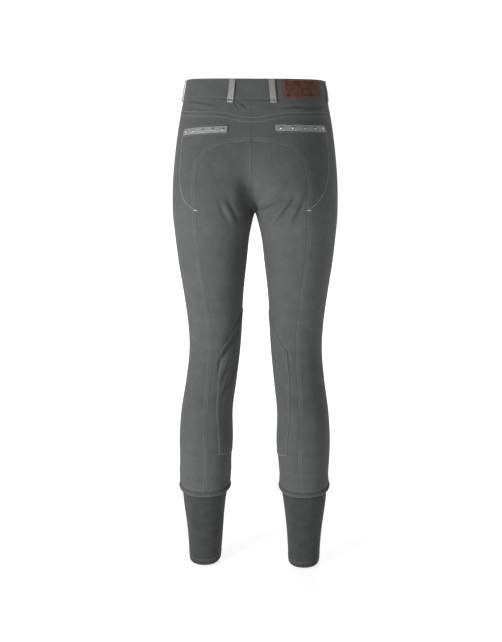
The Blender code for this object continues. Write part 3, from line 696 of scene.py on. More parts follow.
def beside(line, distance):
    """The line shifted over the cloth. One that runs down goes towards the side seam."""
    if distance == 0:
        return line
    a, z = line[:, 0], line[:, 1]
    _, out = smooth_wall(1, a, z)
    by_angle = smooth_wall(1, a + SMALL_TURN, z)[0] - smooth_wall(1, a - SMALL_TURN, z)[0]
    by_height = smooth_wall(1, a, z + SMALL_RISE)[0] - smooth_wall(1, a, z - SMALL_RISE)[0]
    by_angle, by_height = by_angle / (2 * SMALL_TURN), by_height / (2 * SMALL_RISE)
    ahead = by_angle * np.gradient(a)[:, None] + by_height * np.gradient(z)[:, None]
    aside = unit(np.cross(out, ahead)) * distance
    aa, ah, hh = (by_angle**2).sum(1), (by_angle * by_height).sum(1), (by_height**2).sum(1)
    pa, ph = (by_angle * aside).sum(1), (by_height * aside).sum(1)
    whole = aa * hh - ah**2
    return line + np.stack([(pa * hh - ph * ah) / whole, (ph * aa - pa * ah) / whole], -1)


# %% The seams of the breeches
BAND_TOP = 0.021
BAND_FOOT = -0.015
FRONT_DROP = 0.035
SEAT_TOP = -0.0915
ROLL_MIDDLE = -0.7925
ROLL_DIP = 0.004
HEM_MIDDLE = -0.950
HEM_DIP = 0.006
YOKE_SEAM = ((0, -47), (27, -46), (70, -41.2), (90, -43.8), (102, -48.5), (111.2, -50))
SEAT_SEAM = (
    *((99, -94.5), (86.5, -100), (78, -111), (73, -126), (71, -145)),
    *((72.5, -182), (76.8, -219), (79.5, -290), (84, -375), (89.3, -470)),
    *((91.2, -550), (96, -640), (99, -720), (99.5, -810)),
)
CORNER_HEIGHT = -0.1085


def band_top(turn):
    """The waistband is level at the back and lower at the front."""
    return BAND_TOP - FRONT_DROP * np.cos(np.pi * (turn + 1) / 4) ** 3


def band_foot(turn):
    return BAND_FOOT - FRONT_DROP * np.cos(np.pi * (turn + 1) / 4) ** 3.6


def roll_middle(angle):
    return ROLL_MIDDLE - ROLL_DIP * np.sin(np.radians(angle))


def hem(angle):
    return HEM_MIDDLE - HEM_DIP * np.sin(np.radians(angle))


def centre_seam(turn, top, foot=FORK):
    """Down the centre seam, with more points where it turns under the fork."""
    share = np.linspace(1, 0, 260)
    heights = foot + (top - foot) * (share**2 if foot == FORK else share)
    return at_turns(turn, heights)


def yoke_line():
    line = curve(YOKE_SEAM)
    return np.stack([line[:, 0] * at_turns(1, line[-1, 1])[0] / line[-1, 0], line[:, 1]], -1)


def roll_line(start, stop, count=160):
    angles = np.linspace(start, stop, count)
    return np.stack([angles, roll_middle(angles)], -1)


YOKE = yoke_line()
SEAT = curve([at_turns(1, SEAT_TOP) * (1, 1000), *SEAT_SEAM])
SEAT_FOOT_ANGLE = float(np.interp(-roll_middle(99.3), -SEAT[:, 1], SEAT[:, 0]))
SEAT_FOOT = roll_middle(SEAT_FOOT_ANGLE)
SEAT = np.vstack([SEAT[SEAT[:, 1] > SEAT_FOOT], [SEAT_FOOT_ANGLE, SEAT_FOOT]])
CORNER = int(np.argmin(np.abs(SEAT[:, 1] - CORNER_HEIGHT)))
AT_FORK = int(np.argmax(SEAT[:, 1] < FORK))
SEAT_AT_FORK = float(np.interp(-FORK, -SEAT[:, 1], SEAT[:, 0]))
SEAT = np.insert(SEAT, AT_FORK, [SEAT_AT_FORK, FORK], axis=0)
CENTRE_BACK = centre_seam(1, SEAT_TOP)
CENTRE_YOKE = centre_seam(1, band_foot(1), YOKE[-1, 1])
CENTRE_SHORT = centre_seam(1, YOKE[-1, 1], SEAT_TOP)
CENTRE_FRONT = centre_seam(-1, band_foot(-1))
INSEAM = np.stack([np.full(300, 180.0), np.linspace(FORK, roll_middle(180), 300)], -1)
SIDE = np.stack([np.zeros(400), np.linspace(band_foot(0), roll_middle(0), 400)], -1)
BAND_BACK = at_turns(even(200), band_foot(even(200)))
BAND_FRONT = at_turns(-even(200), band_foot(-even(200)))
for name, line in (("yoke", YOKE), ("seat", SEAT), ("side", SIDE), ("inseam", INSEAM)):
    print(f"{name} seam: {lengths(line)[-1] * 1000:.0f} mm on each side")

# %% [markdown]
# ## Where the mesh needs to be fine
#
# A topstitched seam is a low ridge about 8 mm wide with a row of stitches near each of
# its edges. To show it, the mesh wants rows less than a millimetre apart there. Out on
# the open cloth rows 4 mm apart are enough for folds, so each panel's rows and columns
# are close together near a seam and wide in between.

# %% Shares across a panel
NEAR_MM = (0, 0.35, 0.8, 1.2, 1.6, 2.1, 3.2, 4.8, 6.4, 7.1, 7.6, 8.2, 9.2, 10.8)
NEAR_A_SEAM = np.array(NEAR_MM) / 1000
OPEN_STEP = 0.0042


def shares(length, start=True, end=True, step=OPEN_STEP):
    """Where rows go over a length: close along a seam at either end, wide between."""
    near = NEAR_A_SEAM[NEAR_A_SEAM < 0.42 * length]
    first = near if start else near[:1]
    last = length - (near if end else near[:1])[::-1]
    count = max(int(np.ceil((last[0] - first[-1]) / step)), 1)
    open_part = np.linspace(first[-1], last[0], count + 1)[1:-1]
    return np.concatenate([first, open_part, last]) / length


def fork_bend(share):
    """Near the fork an edge turns sharply, so only the next columns bend with it."""
    return np.stack([1 - (1 - share) ** 2.5, share**1.3], -1)


def straight(share):
    return np.stack([share, share], -1)


def fill(top, foot, left, right, across, down, gone_over=straight):
    """A grid of layout points between four lines. Top and foot run from left to right."""
    t = np.asarray(down)[:, None, None]
    s = gone_over(np.asarray(across))[None]
    top, foot = at_shares(top, across), at_shares(foot, across)
    left, right = at_shares(left, down), at_shares(right, down)
    upper, lower = (1 - s) * top[0] + s * top[-1], (1 - s) * foot[0] + s * foot[-1]
    between_two = (1 - t) * top[None] + t * foot[None]
    sides = between_two + (1 - s) * left[:, None] + s * right[:, None]
    return sides - ((1 - t) * upper + t * lower)


def finer(rows, length, zones, step):
    """The same rows, but closer together within the zones."""
    far = rows * length
    inside = np.any([(far > start) & (far < stop) for start, stop in zones], axis=0)
    added = [np.arange(start, stop, step) / length for start, stop in zones]
    return np.unique(np.concatenate([rows[~inside], *added]))


print("columns over 180 mm of cloth:", len(shares(0.18)))

# %% [markdown]
# ## Cloth from grids
#
# A sewn panel is a closed wall: an outer face, an inner face and a rim that joins them.
# The grids of a panel are laid edge to edge and their shared points merged, so a panel
# with a round corner can be made of simple four-sided parts. The outer face carries the
# relief of the seams; the edges roll down into the seam line, and small puckers run
# along the stitching where the thread draws the cloth together. Outer edges stop just
# short of the seam and inner ones run just past it, so no light comes through.

# %% How far a point is from a seam
SEAM_GAP = 0.0003
SHUT_GAP = 0.00012
SEAM_LAP = 0.00012
ALLOWANCE = 0.00035
ALLOWANCE_WIDTH = 0.0086
ALLOWANCE_SLOPE = 0.0024
EDGE_DIP, EDGE_WIDTH = 0.00028, 0.0008
DROP_WIDTH = 0.0026
STITCH_ROWS = (0.0016, 0.0076)
STITCH_DIP, STITCH_WIDTH = 0.00022, 0.0006
PUCKER, PUCKER_PITCH = 0.00016, 0.0093
POINTS_AT_ONCE = 8000


def to_line(points, line_points):
    """Distance from points to a polyline, and how far along it the nearest place is."""
    far = run(line_points)
    distance, along = np.empty(len(points)), np.empty(len(points))
    for start in range(0, len(points), POINTS_AT_ONCE):
        stop = start + POINTS_AT_ONCE
        part = points[start:stop]
        squares = (part**2).sum(1)[:, None] + (line_points**2).sum(1)[None]
        nearest = (squares - 2 * part @ line_points.T).argmin(1)
        best, place = np.full(len(part), np.inf), np.zeros(len(part))
        for step in (-1, 0):
            first = np.clip(nearest + step, 0, len(line_points) - 2)
            a, b = line_points[first], line_points[first + 1]
            share = ((part - a) * (b - a)).sum(1) / np.maximum(((b - a) ** 2).sum(1), 1e-18)
            share = np.clip(share, 0, 1)
            gap = np.linalg.norm(part - (a + (b - a) * share[:, None]), axis=1)
            better = gap < best
            best = np.where(better, gap, best)
            place = np.where(better, far[first] + share * (far[first + 1] - far[first]), place)
        distance[start:stop], along[start:stop] = best, place
    return distance, along


def fading(distance, width):
    """1 at the seam, 0 from a width on."""
    return np.clip(1 - distance / width, 0, 1) ** 2


def seam_relief(distance, along, rows, ridge, width, drop=0.0):
    """The lift of the cloth beside a seam, and how much of it is stitched down."""
    edge = -EDGE_DIP * fading(distance, EDGE_WIDTH) - drop * fading(distance, DROP_WIDTH)
    on_ridge = 1 - soft_step(width, width + ALLOWANCE_SLOPE, distance)
    dips = sum((np.exp(-(((distance - row) / STITCH_WIDTH) ** 2)) for row in rows), 0 * distance)
    wave = np.sin(along * 2 * np.pi / PUCKER_PITCH + 2.1 * np.sin(along * 41))
    wave = wave * (0.6 + 0.4 * np.sin(along * 77 + 1))
    puckers = wave * np.exp(-((distance - 0.0045) ** 2) / 0.0065**2) * PUCKER * (len(rows) > 0)
    return edge + ridge * on_ridge - STITCH_DIP * dips + puckers * on_ridge, on_ridge


# %% Sew grids into one closed wall
Edge = namedtuple("Edge", "line rows ridge width drop", defaults=((), 0.0, ALLOWANCE_WIDTH, 0.0))
CLOTH = 0.0015
TWILL = "breech_cloth"
RIM_PITCH = 0.004
WORD = {1: "right", -1: "left"}
FINISHED = {}


def topstitched(line):
    return Edge(line, STITCH_ROWS, ALLOWANCE)


def grid_measures(points):
    """How far each grid point is across and down its grid: the cloth's own flat measures."""
    measures = np.zeros((*points.shape[:2], 2))
    measures[:, 1:, 0] = np.cumsum(np.linalg.norm(np.diff(points, axis=1), axis=2), axis=1)
    measures[1:, :, 1] = np.cumsum(np.linalg.norm(np.diff(points, axis=0), axis=2), axis=0)
    return measures


def grid_faces(flat):
    """The four-sided faces of several grids, and their corners' flat measures."""
    quads, corners, start = [], [], 0
    for measures in flat:
        index = np.arange(measures[..., 0].size).reshape(measures.shape[:2])
        square = (index[:-1, :-1], index[1:, :-1], index[1:, 1:], index[:-1, 1:])
        quad = np.stack(square, -1).reshape(-1, 4)
        quads.append(quad + start)
        corners.append(measures.reshape(-1, 2)[quad])
        start += index.size
    return np.concatenate(quads), np.concatenate(corners)


def rim_edges(quads):
    """The directed edges that only one face uses."""
    ahead = np.concatenate([quads[:, [i, (i + 1) % 4]] for i in range(4)])
    size = quads.max() + 1
    key = ahead[:, 0] * size + ahead[:, 1]
    back = ahead[:, 1] * size + ahead[:, 0]
    return ahead[~np.isin(key, back) & (ahead[:, 0] != ahead[:, 1])]


def rim_inward(points, normals, rim):
    """At each rim point, the way into the piece, mitred at corners."""
    total = np.zeros_like(points)
    step = unit(points[rim[:, 1]] - points[rim[:, 0]])
    for end in (0, 1):
        np.add.at(total, rim[:, end], unit(np.cross(normals[rim[:, end]], step)))
    size = (total**2).sum(1, keepdims=True)
    return np.where(size > 0, 2 * total / np.maximum(size, 1.0), 0)


def relief_of(points, side, edges):
    """The relief of all of a panel's seams, and where an allowance lifts the cloth."""
    relief, ridge_highlight = np.zeros(len(points)), np.zeros(len(points))
    for seam in edges:
        line, _ = smooth_wall(side, seam.line[:, 0], seam.line[:, 1])
        up, on_ridge = seam_relief(*to_line(points, line), *seam[1:])
        relief = np.where(np.abs(up) > np.abs(relief), up, relief)
        # where an allowance lifts the cloth: the mask of the painted highlight along it
        ridge_highlight = np.maximum(ridge_highlight, on_ridge * (seam.ridge > 0))
    return relief, ridge_highlight


def cloth(
    name, side, grids, edges, thickness=CLOTH, finish=TWILL, lift=0.0, gap=SHUT_GAP, extra=None
):
    """One closed wall of cloth from grids of (angle, height), with its seams' relief."""
    every, out, lifts, flat = [], [], [], []
    for grid in grids:
        laid = np.broadcast_to(side, grid.shape[:2]), grid[..., 0], grid[..., 1]
        points, normals = smooth_wall(*laid)
        every.append(points.reshape(-1, 3))
        out.append(normals.reshape(-1, 3))
        lifts.append((folds_at(*laid) + lift).reshape(-1))
        flat.append(grid_measures(points))
    every = np.concatenate(every)
    _, first, place = np.unique(np.round(every, 6), axis=0, return_index=True, return_inverse=True)
    points, normals, lifts = every[first], np.concatenate(out)[first], np.concatenate(lifts)[first]
    relief, ridge_highlight = relief_of(points, side, edges)
    if extra is not None:
        relief = relief + extra(points)

    quads, corners_flat = grid_faces(flat)
    quads = place.reshape(-1)[quads]
    a, b, c = (points[quads[:, i]] for i in (0, 1, 2))
    flipped = (np.cross(b - a, c - a) * normals[quads[:, 0]]).sum(1) < 0
    quads[flipped] = quads[flipped][:, ::-1]
    corners_flat[flipped] = corners_flat[flipped][:, ::-1]

    rim = rim_edges(quads)
    inward = rim_inward(points, normals, rim)
    outer = points + inward * gap / 2 + normals * (lifts + relief)[:, None]
    inner = points - inward * SEAM_LAP + normals * (lifts - thickness)[:, None]
    count = len(points)
    rim_faces = np.stack([rim[:, 1], rim[:, 0], rim[:, 0] + count, rim[:, 1] + count], -1)
    rim_flat = np.zeros((len(rim), 4, 2))
    rim_flat[:, :2, 0] = np.arange(len(rim))[:, None] * RIM_PITCH
    rim_flat[:, 2:, 1] = thickness
    faces = np.concatenate([quads, quads[:, ::-1] + count, rim_faces])
    uv = np.concatenate([corners_flat, corners_flat[:, ::-1], rim_flat])
    mesh_object(name, np.concatenate([outer, inner]), faces, finish, uv, np.tile(ridge_highlight, 2))
    one, other = outer[quads[:, 2]] - outer[quads[:, 0]], outer[quads[:, 3]] - outer[quads[:, 1]]
    np.linalg.norm(np.cross(one, other), axis=1).sum() / 2


def both_sides(name, grids, edges, **more):
    for side, word in WORD.items():
        cloth(f"{name}_{word}", side, grids, edges, **more)


# %% Make the mesh and its material slots
SHARP_ANGLE = np.radians(58)


def mesh_object(name, corners, faces, finish, uv=None, ridge_highlight=None, smooth=True):
    mesh = bpy.data.meshes.new(name)
    mesh.from_pydata(np.asarray(corners).tolist(), [], [list(map(int, face)) for face in faces])
    if uv is not None:
        layer = mesh.uv_layers.new(name="weave")
        layer.data.foreach_set("uv", np.asarray(uv, np.float32).reshape(-1))
        # the painted highlight along the allowances, kept as a point attribute
        held = mesh.attributes.new("ridge_highlight", "FLOAT", "POINT")
        held.data.foreach_set("value", np.asarray(ridge_highlight, np.float32))
    if smooth:
        mesh.shade_smooth()
        mesh.set_sharp_from_angle(angle=SHARP_ANGLE)
    mesh.materials.append(FINISHES[finish])
    piece = bpy.data.objects.new(name, mesh)
    bpy.context.scene.collection.objects.link(piece)
    FINISHED[name] = (piece, finish)
    return piece


print("hard edges from", round(np.degrees(SHARP_ANGLE)), "degrees on")

# %% [markdown]
# ## The finishes
#
# Every finish is built from noise and waves, so it never repeats and needs no pictures.
# The cloth's pattern follows each panel's own flat measures, kept in a UV map in
# metres. That makes the twill run down a leg, as the cloth is cut, and keeps its lines
# the same size on every piece.
#
# ### Breech twill
#
# The cloth is a matt grey stretch twill: slanting ribs about a millimetre apart, spun
# from yarns of slightly different greys, with a soft bloom of loose fibres. Slanting
# waves give the ribs, noise of several sizes the yarns, the streaks and the unevenness
# of the dye, and sheen the bloom. Where an allowance lifts the cloth it is painted a
# little paler, a painted highlight along the raised seam.


# %% Twill
def twill():
    bloom = {"Sheen_Weight": 0.05, "Sheen_Roughness": 0.5, "Specular_IOR_Level": 0.2}
    weave = Finish("breech_cloth", 0.9, **bloom)
    place = weave.flat_mm()
    ribs = weave.bands(place, "DIAGONAL", 0.46, Distortion=0.7, Detail=1.0)
    yarns = weave.noise(weave.flat_mm((1.0, 0.35, 1.0)), 0.9, 3.0, 0.65)
    dye = weave.noise(place, 0.035, 3.0, 0.55)
    streaks = weave.noise(weave.flat_mm((1.0, 0.22, 1.0)), 0.42, 3.0, 0.7)
    # painted highlight: the lifted allowances are coloured paler
    lit_ridge = weave.node("ShaderNodeAttribute", {"attribute_name": "ridge_highlight"}).outputs["Fac"]
    mixed = weave.spread(yarns, 0.3, 0.7, -0.22, 0.22)
    for part in (
        weave.spread(dye, 0.3, 0.7, 0.30, 0.62),
        weave.spread(streaks, 0.3, 0.7, -0.16, 0.16),
        weave.spread(ribs, 0, 1, -0.07, 0.07),
        weave.spread(lit_ridge, 0, 1, 0.0, 0.10),
    ):
        mixed = weave.sum(mixed, part)
    weave.colour((0.050, 0.0525, 0.0518), (0.096, 0.0995, 0.0985), mixed)
    weave.relief(weave.sum(ribs, weave.sum(yarns, 0.8, "MULTIPLY")), 0.00016, 0.55)


twill()
print("cloth finish ready:", list(FINISHES))

# %% [markdown]
# ### Jersey, silver canvas, leather, stone, metal and thread
#
# The cuffs are thin ribbed jersey, a darker grey. The loops and welts are canvas
# coated with fine silver glitter: a cell pattern gives each fleck its own brightness
# and gloss. The patch is brown leather with a pebbled grain that is darker in its
# hollows. Stones are faceted and mirror-like, so their meshes do the work. Thread gets
# a twist from a fine slanting wave.


# %% Jersey, canvas and leather
def jersey():
    bloom = {"Sheen_Weight": 0.08, "Sheen_Roughness": 0.5, "Specular_IOR_Level": 0.2}
    knit = Finish("cuff_jersey", 0.9, **bloom)
    place = knit.flat_mm()
    ribs = knit.bands(place, "X", 0.36, Distortion=0.4)
    loops = knit.noise(knit.flat_mm((1, 0.7, 1)), 1.1)
    dye = knit.noise(place, 0.05)
    tone = knit.spread(dye, 0.3, 0.7, 0.3, 0.7)
    mixed = knit.sum(knit.spread(loops, 0.3, 0.7, -0.15, 0.15), tone)
    mixed = knit.sum(mixed, knit.spread(ribs, 0, 1, -0.1, 0.1))
    knit.colour((0.024, 0.026, 0.025), (0.052, 0.055, 0.053), mixed)
    knit.relief(knit.sum(ribs, knit.sum(loops, 0.5, "MULTIPLY")), 0.00018, 0.6)


def silver_canvas():
    silver = Finish("silver_canvas", 0.55, 0.15, Specular_IOR_Level=0.35)
    place = silver.space_mm()
    flecks = silver.node("ShaderNodeTexVoronoi", Vector=place, Scale=1.9)
    bright = silver.node("ShaderNodeSeparateColor", Color=flecks.outputs["Color"]).outputs[0]
    threads = silver.noise(place, 0.7, 3.0)
    uneven = silver.spread(threads, 0.3, 0.7, -0.15, 0.15)
    mixed = silver.sum(silver.spread(bright, 0, 1, 0.0, 0.85), uneven)
    silver.colour((0.10, 0.102, 0.10), (0.40, 0.405, 0.40), mixed)
    silver.shade_with("Roughness", silver.spread(bright, 0, 1, 0.75, 0.36))
    silver.relief(silver.sum(bright, threads), 0.00022, 0.8)


def brown_leather():
    hide = Finish("brown_leather", 0.62, Specular_IOR_Level=0.28)
    place = hide.space_mm()
    to_edge = {"feature": "DISTANCE_TO_EDGE"}
    grain = hide.node("ShaderNodeTexVoronoi", to_edge, Vector=place, Scale=1.3).outputs[0]
    cloudy = hide.noise(place, 0.16, 4.0, 0.6)
    pores = hide.noise(place, 2.2)
    hollows = hide.spread(grain, 0, 0.25, -0.25, 0.1)
    tone = hide.sum(hide.spread(cloudy, 0.3, 0.7, 0.05, 0.85), hollows)
    hide.colour((0.032, 0.011, 0.005), (0.160, 0.060, 0.030), tone)
    pebbles, pits = hide.spread(grain, 0, 0.22), hide.sum(pores, 0.4, "MULTIPLY")
    hide.relief(hide.sum(pebbles, pits), 0.00018, 0.7)


jersey()
silver_canvas()
brown_leather()
print("soft finishes ready:", list(FINISHES))


# %% Stones, metal and threads
def hard_finishes():
    stone = Finish("stone", 0.08, 0.9)
    tint = stone.noise(stone.space_mm(), 0.5, 1.0)
    stone.colour((0.30, 0.32, 0.35), (0.85, 0.87, 0.90), stone.spread(tint, 0.3, 0.7))

    metal = Finish("button_metal", 0.34, 1.0)
    rubbed = metal.noise(metal.space_mm(), 0.8, 4.0)
    metal.colour((0.075, 0.075, 0.078), (0.20, 0.20, 0.20), metal.spread(rubbed, 0.35, 0.65))
    metal.shade_with("Roughness", metal.spread(rubbed, 0.3, 0.7, 0.28, 0.48))


THREADS = {
    "thread_tone": ((0.105, 0.109, 0.108), (0.185, 0.190, 0.188)),
    # light thread; on the right knee it is a painted highlight
    "thread_light": ((0.17, 0.175, 0.172), (0.30, 0.306, 0.303)),
    "thread_pale": ((0.36, 0.365, 0.36), (0.56, 0.565, 0.56)),
    "thread_dark": ((0.030, 0.031, 0.031), (0.060, 0.062, 0.061)),
    "thread_russet": ((0.23, 0.13, 0.10), (0.36, 0.22, 0.17)),
}
hard_finishes()
for name, (dark, light) in THREADS.items():
    yarn = Finish(name, 0.55, Sheen_Weight=0.3, Sheen_Roughness=0.4)
    twist = yarn.bands(yarn.space_mm(), "DIAGONAL", 1.6)
    yarn.colour(dark, light, twist)
    yarn.relief(twist, 0.00005, 0.5)
print("finishes:", ", ".join(FINISHES))

# %% [markdown]
# ## Stitches
#
# A stitch is a short capsule of thread that bows up out of the cloth and dives back in
# at both ends. One small template is copied along a line by plain array arithmetic, and
# all stitches of one thread in one region become a single joined mesh. That keeps
# thousands of real, separate stitches cheap.

# %% Sew along a line
STITCH_PITCH, TACK_PITCH = 0.0032, 0.00052
HALF_STEP = 0.0008
LOW, RAISED = 0.0002, 0.0003
SEWN = {}


def stitch_template(sides=5):
    """A capsule along X, one unit long and one thick, its ends bent down."""
    around = np.linspace(0, 2 * np.pi, sides, endpoint=False)
    corners = [(-0.5, 0.0, -0.75)]
    for x, r, down in ((-0.36, 0.40, -0.25), (0.0, 0.5, 0.0), (0.36, 0.40, -0.25)):
        corners += [(x, r * np.cos(a), down + r * np.sin(a)) for a in around]
    corners.append((0.5, 0.0, -0.75))
    faces = []
    for j in range(sides):
        k = (j + 1) % sides
        faces.append([0, 1 + k, 1 + j])
        for a in (1, 1 + sides):
            faces.append([a + j, a + k, a + sides + k])
            faces.append([a + j, a + sides + k, a + sides + j])
        faces.append([1 + 2 * sides + j, 1 + 2 * sides + k, 1 + 3 * sides])
    return np.array(corners), np.array(faces)


STITCH, STITCH_FACES = stitch_template()


def sew(batch, side, line, lift=RAISED, pitch=STITCH_PITCH, length=0.0026, thick=0.0005, slant=0.0):
    """Stitches along a line of layout points. They are kept until their batch is made."""
    points, normals = wall(side, line[:, 0], line[:, 1])
    far = run(points)
    count = max(int(far[-1] / pitch), 1)
    where = (np.arange(count) + 0.5) * far[-1] / count
    out = unit(at_lengths(normals, far, where))
    after, before = (at_lengths(points, far, where + step) for step in (HALF_STEP, -HALF_STEP))
    ahead = after - before
    ahead = unit(ahead - (ahead * out).sum(1, keepdims=True) * out)
    turned = unit(ahead * np.cos(slant) + np.cross(out, ahead) * np.sin(slant))
    place = at_lengths(points, far, where) + out * lift
    axes = ((turned, length), (np.cross(out, turned), thick), (out, thick))
    SEWN.setdefault(batch, []).append((place, axes))


def tack(batch, side, angle, height, across, along, lift=0.0005, upright=True):
    """A bartack: close thread laid side by side over a short length."""
    here, there = (smooth_wall(1, a, height)[0] for a in (angle, angle + 1))
    half = (0, along / 2) if upright else (along / 2 / np.linalg.norm(there - here), 0)
    line = np.array((angle, height)) + np.linspace(-1, 1, 9)[:, None] * half
    sew(batch, side, line, lift, TACK_PITCH, across, 0.0006, np.pi / 2)


def finish_stitches(batch, finish):
    """One joined mesh from all the stitches of a batch."""
    corners, faces, count = [], [], 0
    for place, axes in SEWN[batch]:
        moved = (at[:, None] * size * axis[:, None] for at, (axis, size) in zip(STITCH.T, axes))
        corners.append((place[:, None] + sum(moved)).reshape(-1, 3))
        starts = (count + np.arange(len(place))) * len(STITCH)
        faces.append((STITCH_FACES[None] + starts[:, None, None]).reshape(-1, 3))
        count += len(place)
    mesh_object(batch, np.concatenate(corners), np.concatenate(faces), finish)
    print(f"{batch}: {count} stitches")


def topstitch(batch, side, line, toward):
    """The two rows that hold down an allowance. toward is +1 for the side seam's way."""
    for row in STITCH_ROWS:
        sew(batch, side, beside(line, toward * row))


print("corners of a stitch:", len(STITCH))

# %% [markdown]
# ## Back legs, seat panels and fronts
#
# The seat panel is the round-topped piece that runs from below the pockets down the
# inner back leg. Its round corner is the hard part: rows that ran straight into it would
# be crushed. So the outer back leg is made of four simple grids round that corner, and
# the seat panel of two, cut where its edge has turned half way.

# %% Outer back legs
SHELF_DROP = 0.004
LEG_LENGTH = 0.550
OVER_SEAT, DOWN_HIP, DOWN_LEG = SEAT[: CORNER + 1], SEAT[CORNER : AT_FORK + 1], SEAT[AT_FORK:]
LEG_DOWN = shares(LEG_LENGTH, start=False)
FRONT_INSEAM = INSEAM * (-1, 1)


def layout_line(start, stop, count=60):
    return np.linspace(start, stop, count)


SIDE_LEG = layout_line((0.0, FORK), (0.0, roll_middle(0)), 300)


def back_leg_grids():
    corner = SEAT[CORNER]
    at_side = (0.0, corner[1] - SHELF_DROP)
    yoke_at = int(np.argmin(np.abs(YOKE[:, 0] - corner[0])))
    drop, shelf = layout_line(YOKE[yoke_at], corner), layout_line(at_side, corner)
    side_top, side_hip = layout_line(YOKE[0], at_side), layout_line(at_side, (0.0, FORK))
    ring, roll = level_line(0, SEAT_AT_FORK, FORK), roll_line(0, SEAT_FOOT_ANGLE)
    across, top_down = shares(0.150), shares(0.060)
    over_seat = shares(lengths(OVER_SEAT)[-1], start=False)
    hip_down = shares(0.135, start=False, end=False)
    return [
        fill(YOKE[: yoke_at + 1], shelf, side_top, drop, across, top_down),
        fill(YOKE[yoke_at:], OVER_SEAT[::-1], drop, CENTRE_SHORT, over_seat, top_down),
        fill(shelf, ring, side_hip, DOWN_HIP, across, hip_down),
        fill(ring, roll, SIDE_LEG, DOWN_LEG, across, LEG_DOWN),
    ]


at_roll = Edge(roll_line(0, SEAT_FOOT_ANGLE))
edges = (*map(topstitched, (SEAT, YOKE, SIDE)), Edge(CENTRE_SHORT), at_roll)
both_sides("back_leg", back_leg_grids(), edges)


# %% Seat panels
def seat_grids():
    ring, roll = level_line(180, SEAT_AT_FORK, FORK), roll_line(180, SEAT_FOOT_ANGLE)
    across = shares(0.120, step=0.0025)
    hip_down = shares(0.150, end=False, step=0.0024)
    leg_down = finer(LEG_DOWN, LEG_LENGTH, ((0.001, 0.036), (0.215, 0.375)), 0.0025)
    return [
        fill(OVER_SEAT, ring, CENTRE_BACK, DOWN_HIP, across, hip_down, fork_bend),
        fill(ring, roll, INSEAM, DOWN_LEG, across, leg_down),
    ]


SEAT_GRIDS = seat_grids()
for side, word in WORD.items():
    centre = topstitched(CENTRE_BACK) if side < 0 else Edge(CENTRE_BACK)
    edges = (Edge(SEAT), centre, Edge(INSEAM), Edge(roll_line(SEAT_FOOT_ANGLE, 180)))
    cloth(f"seat_{word}", side, SEAT_GRIDS, edges)


# %% Front legs
def fork_bend_last(share):
    return 1 - fork_bend(1 - share)


def front_grids():
    side_hip = layout_line((0.0, band_foot(0)), (0.0, FORK), 200)
    ring, roll = level_line(0, -180, FORK), roll_line(0, -180)
    across, hip_down = shares(0.210), shares(0.210, end=False)
    return [
        fill(BAND_FRONT, ring, side_hip, CENTRE_FRONT, across, hip_down, fork_bend_last),
        fill(ring, roll, SIDE_LEG, FRONT_INSEAM, across, LEG_DOWN),
    ]


plain = (Edge(BAND_FRONT), Edge(roll_line(0, -180)))
edges = (Edge(SIDE), Edge(CENTRE_FRONT), topstitched(FRONT_INSEAM), *plain)
both_sides("front_leg", front_grids(), edges)

# %% [markdown]
# ## Yokes and waistband
#
# A shaped yoke sits between the waistband and the seat, topstitched along its foot. The
# waistband is a doubled strip, thicker than one layer, so its edges roll over more and
# stand a little proud of the cloth below. On the left front it climbs over the right
# end and laps on past the centre.

# %% Yokes
YOKE_RIDGE = 0.00012
yoke_side = layout_line((0.0, band_foot(0)), YOKE[0])
yoke_shares = shares(0.175, step=0.0013), shares(0.034, step=0.0012)
at_foot = Edge(YOKE, STITCH_ROWS[:1], YOKE_RIDGE)
edges = (Edge(BAND_BACK), at_foot, Edge(CENTRE_YOKE), topstitched(SIDE[:61]))
both_sides("yoke", [fill(BAND_BACK, YOKE, yoke_side, CENTRE_YOKE, *yoke_shares)], edges)

# %% Waistband
BAND = 0.0028
BAND_PROUD = 0.0008
BAND_ROW = 0.0018
BAND_STEP = 0.0045
BAND_ROLL, BAND_ROLL_WIDTH = 0.0004, 0.0016
LAP = 0.025
LAP_START = 0.012


def band_wave(points):
    """A band is never quite flat: slow swells along it."""
    x, y, z = points.T
    return 0.00022 * np.sin(62 * x + 9 * y + 40 * z) + 0.00014 * np.sin(-143 * x + 31 * y)


def band_piece(name, sides, turns, lift=BAND_PROUD):
    """A strip of the band. Its relief follows its long edges, even from side to side."""
    rows = shares(BAND_TOP - BAND_FOOT)[:, None]
    heights = band_top(turns) * (1 - rows) + band_foot(turns) * rows
    grid = at_turns(turns + 0 * rows, heights)
    rims, _ = smooth_wall(np.broadcast_to(sides, grid.shape[:2]), grid[..., 0], grid[..., 1])

    def relief(points):
        total = np.zeros(len(points))
        for rim in (rims[0], rims[-1]):
            distance, along = to_line(points, rim)
            up, _ = seam_relief(distance, along, (BAND_ROW,), 0.0, 0.004)
            total += up - BAND_ROLL * fading(distance, BAND_ROLL_WIDTH)
        return total + band_wave(points)

    cloth(name, sides, [grid], (), BAND, lift=lift, extra=relief)


def signs(own, other, sign):
    """A side for each column: a run of the piece's own side, then of the other."""
    return np.concatenate([sign * np.ones(own), -sign * np.ones(other)])


half = shares(0.175, end=False, step=BAND_STEP)
front = -shares(0.185, step=BAND_STEP)
whole = np.concatenate([half, half[-2::-1]])
band_piece("waistband_back", signs(len(half), len(half) - 1, 1), whole)
band_piece("waistband_front_right", 1, front)

turns = -even(80)
half_front = lengths(at_turns(turns, (band_top(turns) + band_foot(turns)) / 2))[-1]
ramp = 1 - LAP_START / half_front
own = np.concatenate([front[front > -ramp], -np.linspace(ramp, 1, 5)])
after = -1 + np.linspace(0.0, LAP / half_front, 9)[1:]
rise = np.concatenate([np.interp(-own, [ramp, 0.99], [0, 1]), np.ones(len(after))])
lap_sides = signs(len(own), len(after), -1)
lap_lift = BAND_PROUD + (BAND + SEAM_GAP) * rise
band_piece("waistband_front_left", lap_sides, np.concatenate([own, after]), lap_lift)
print("waistband pieces made; half the front is", round(half_front, 4), "m")

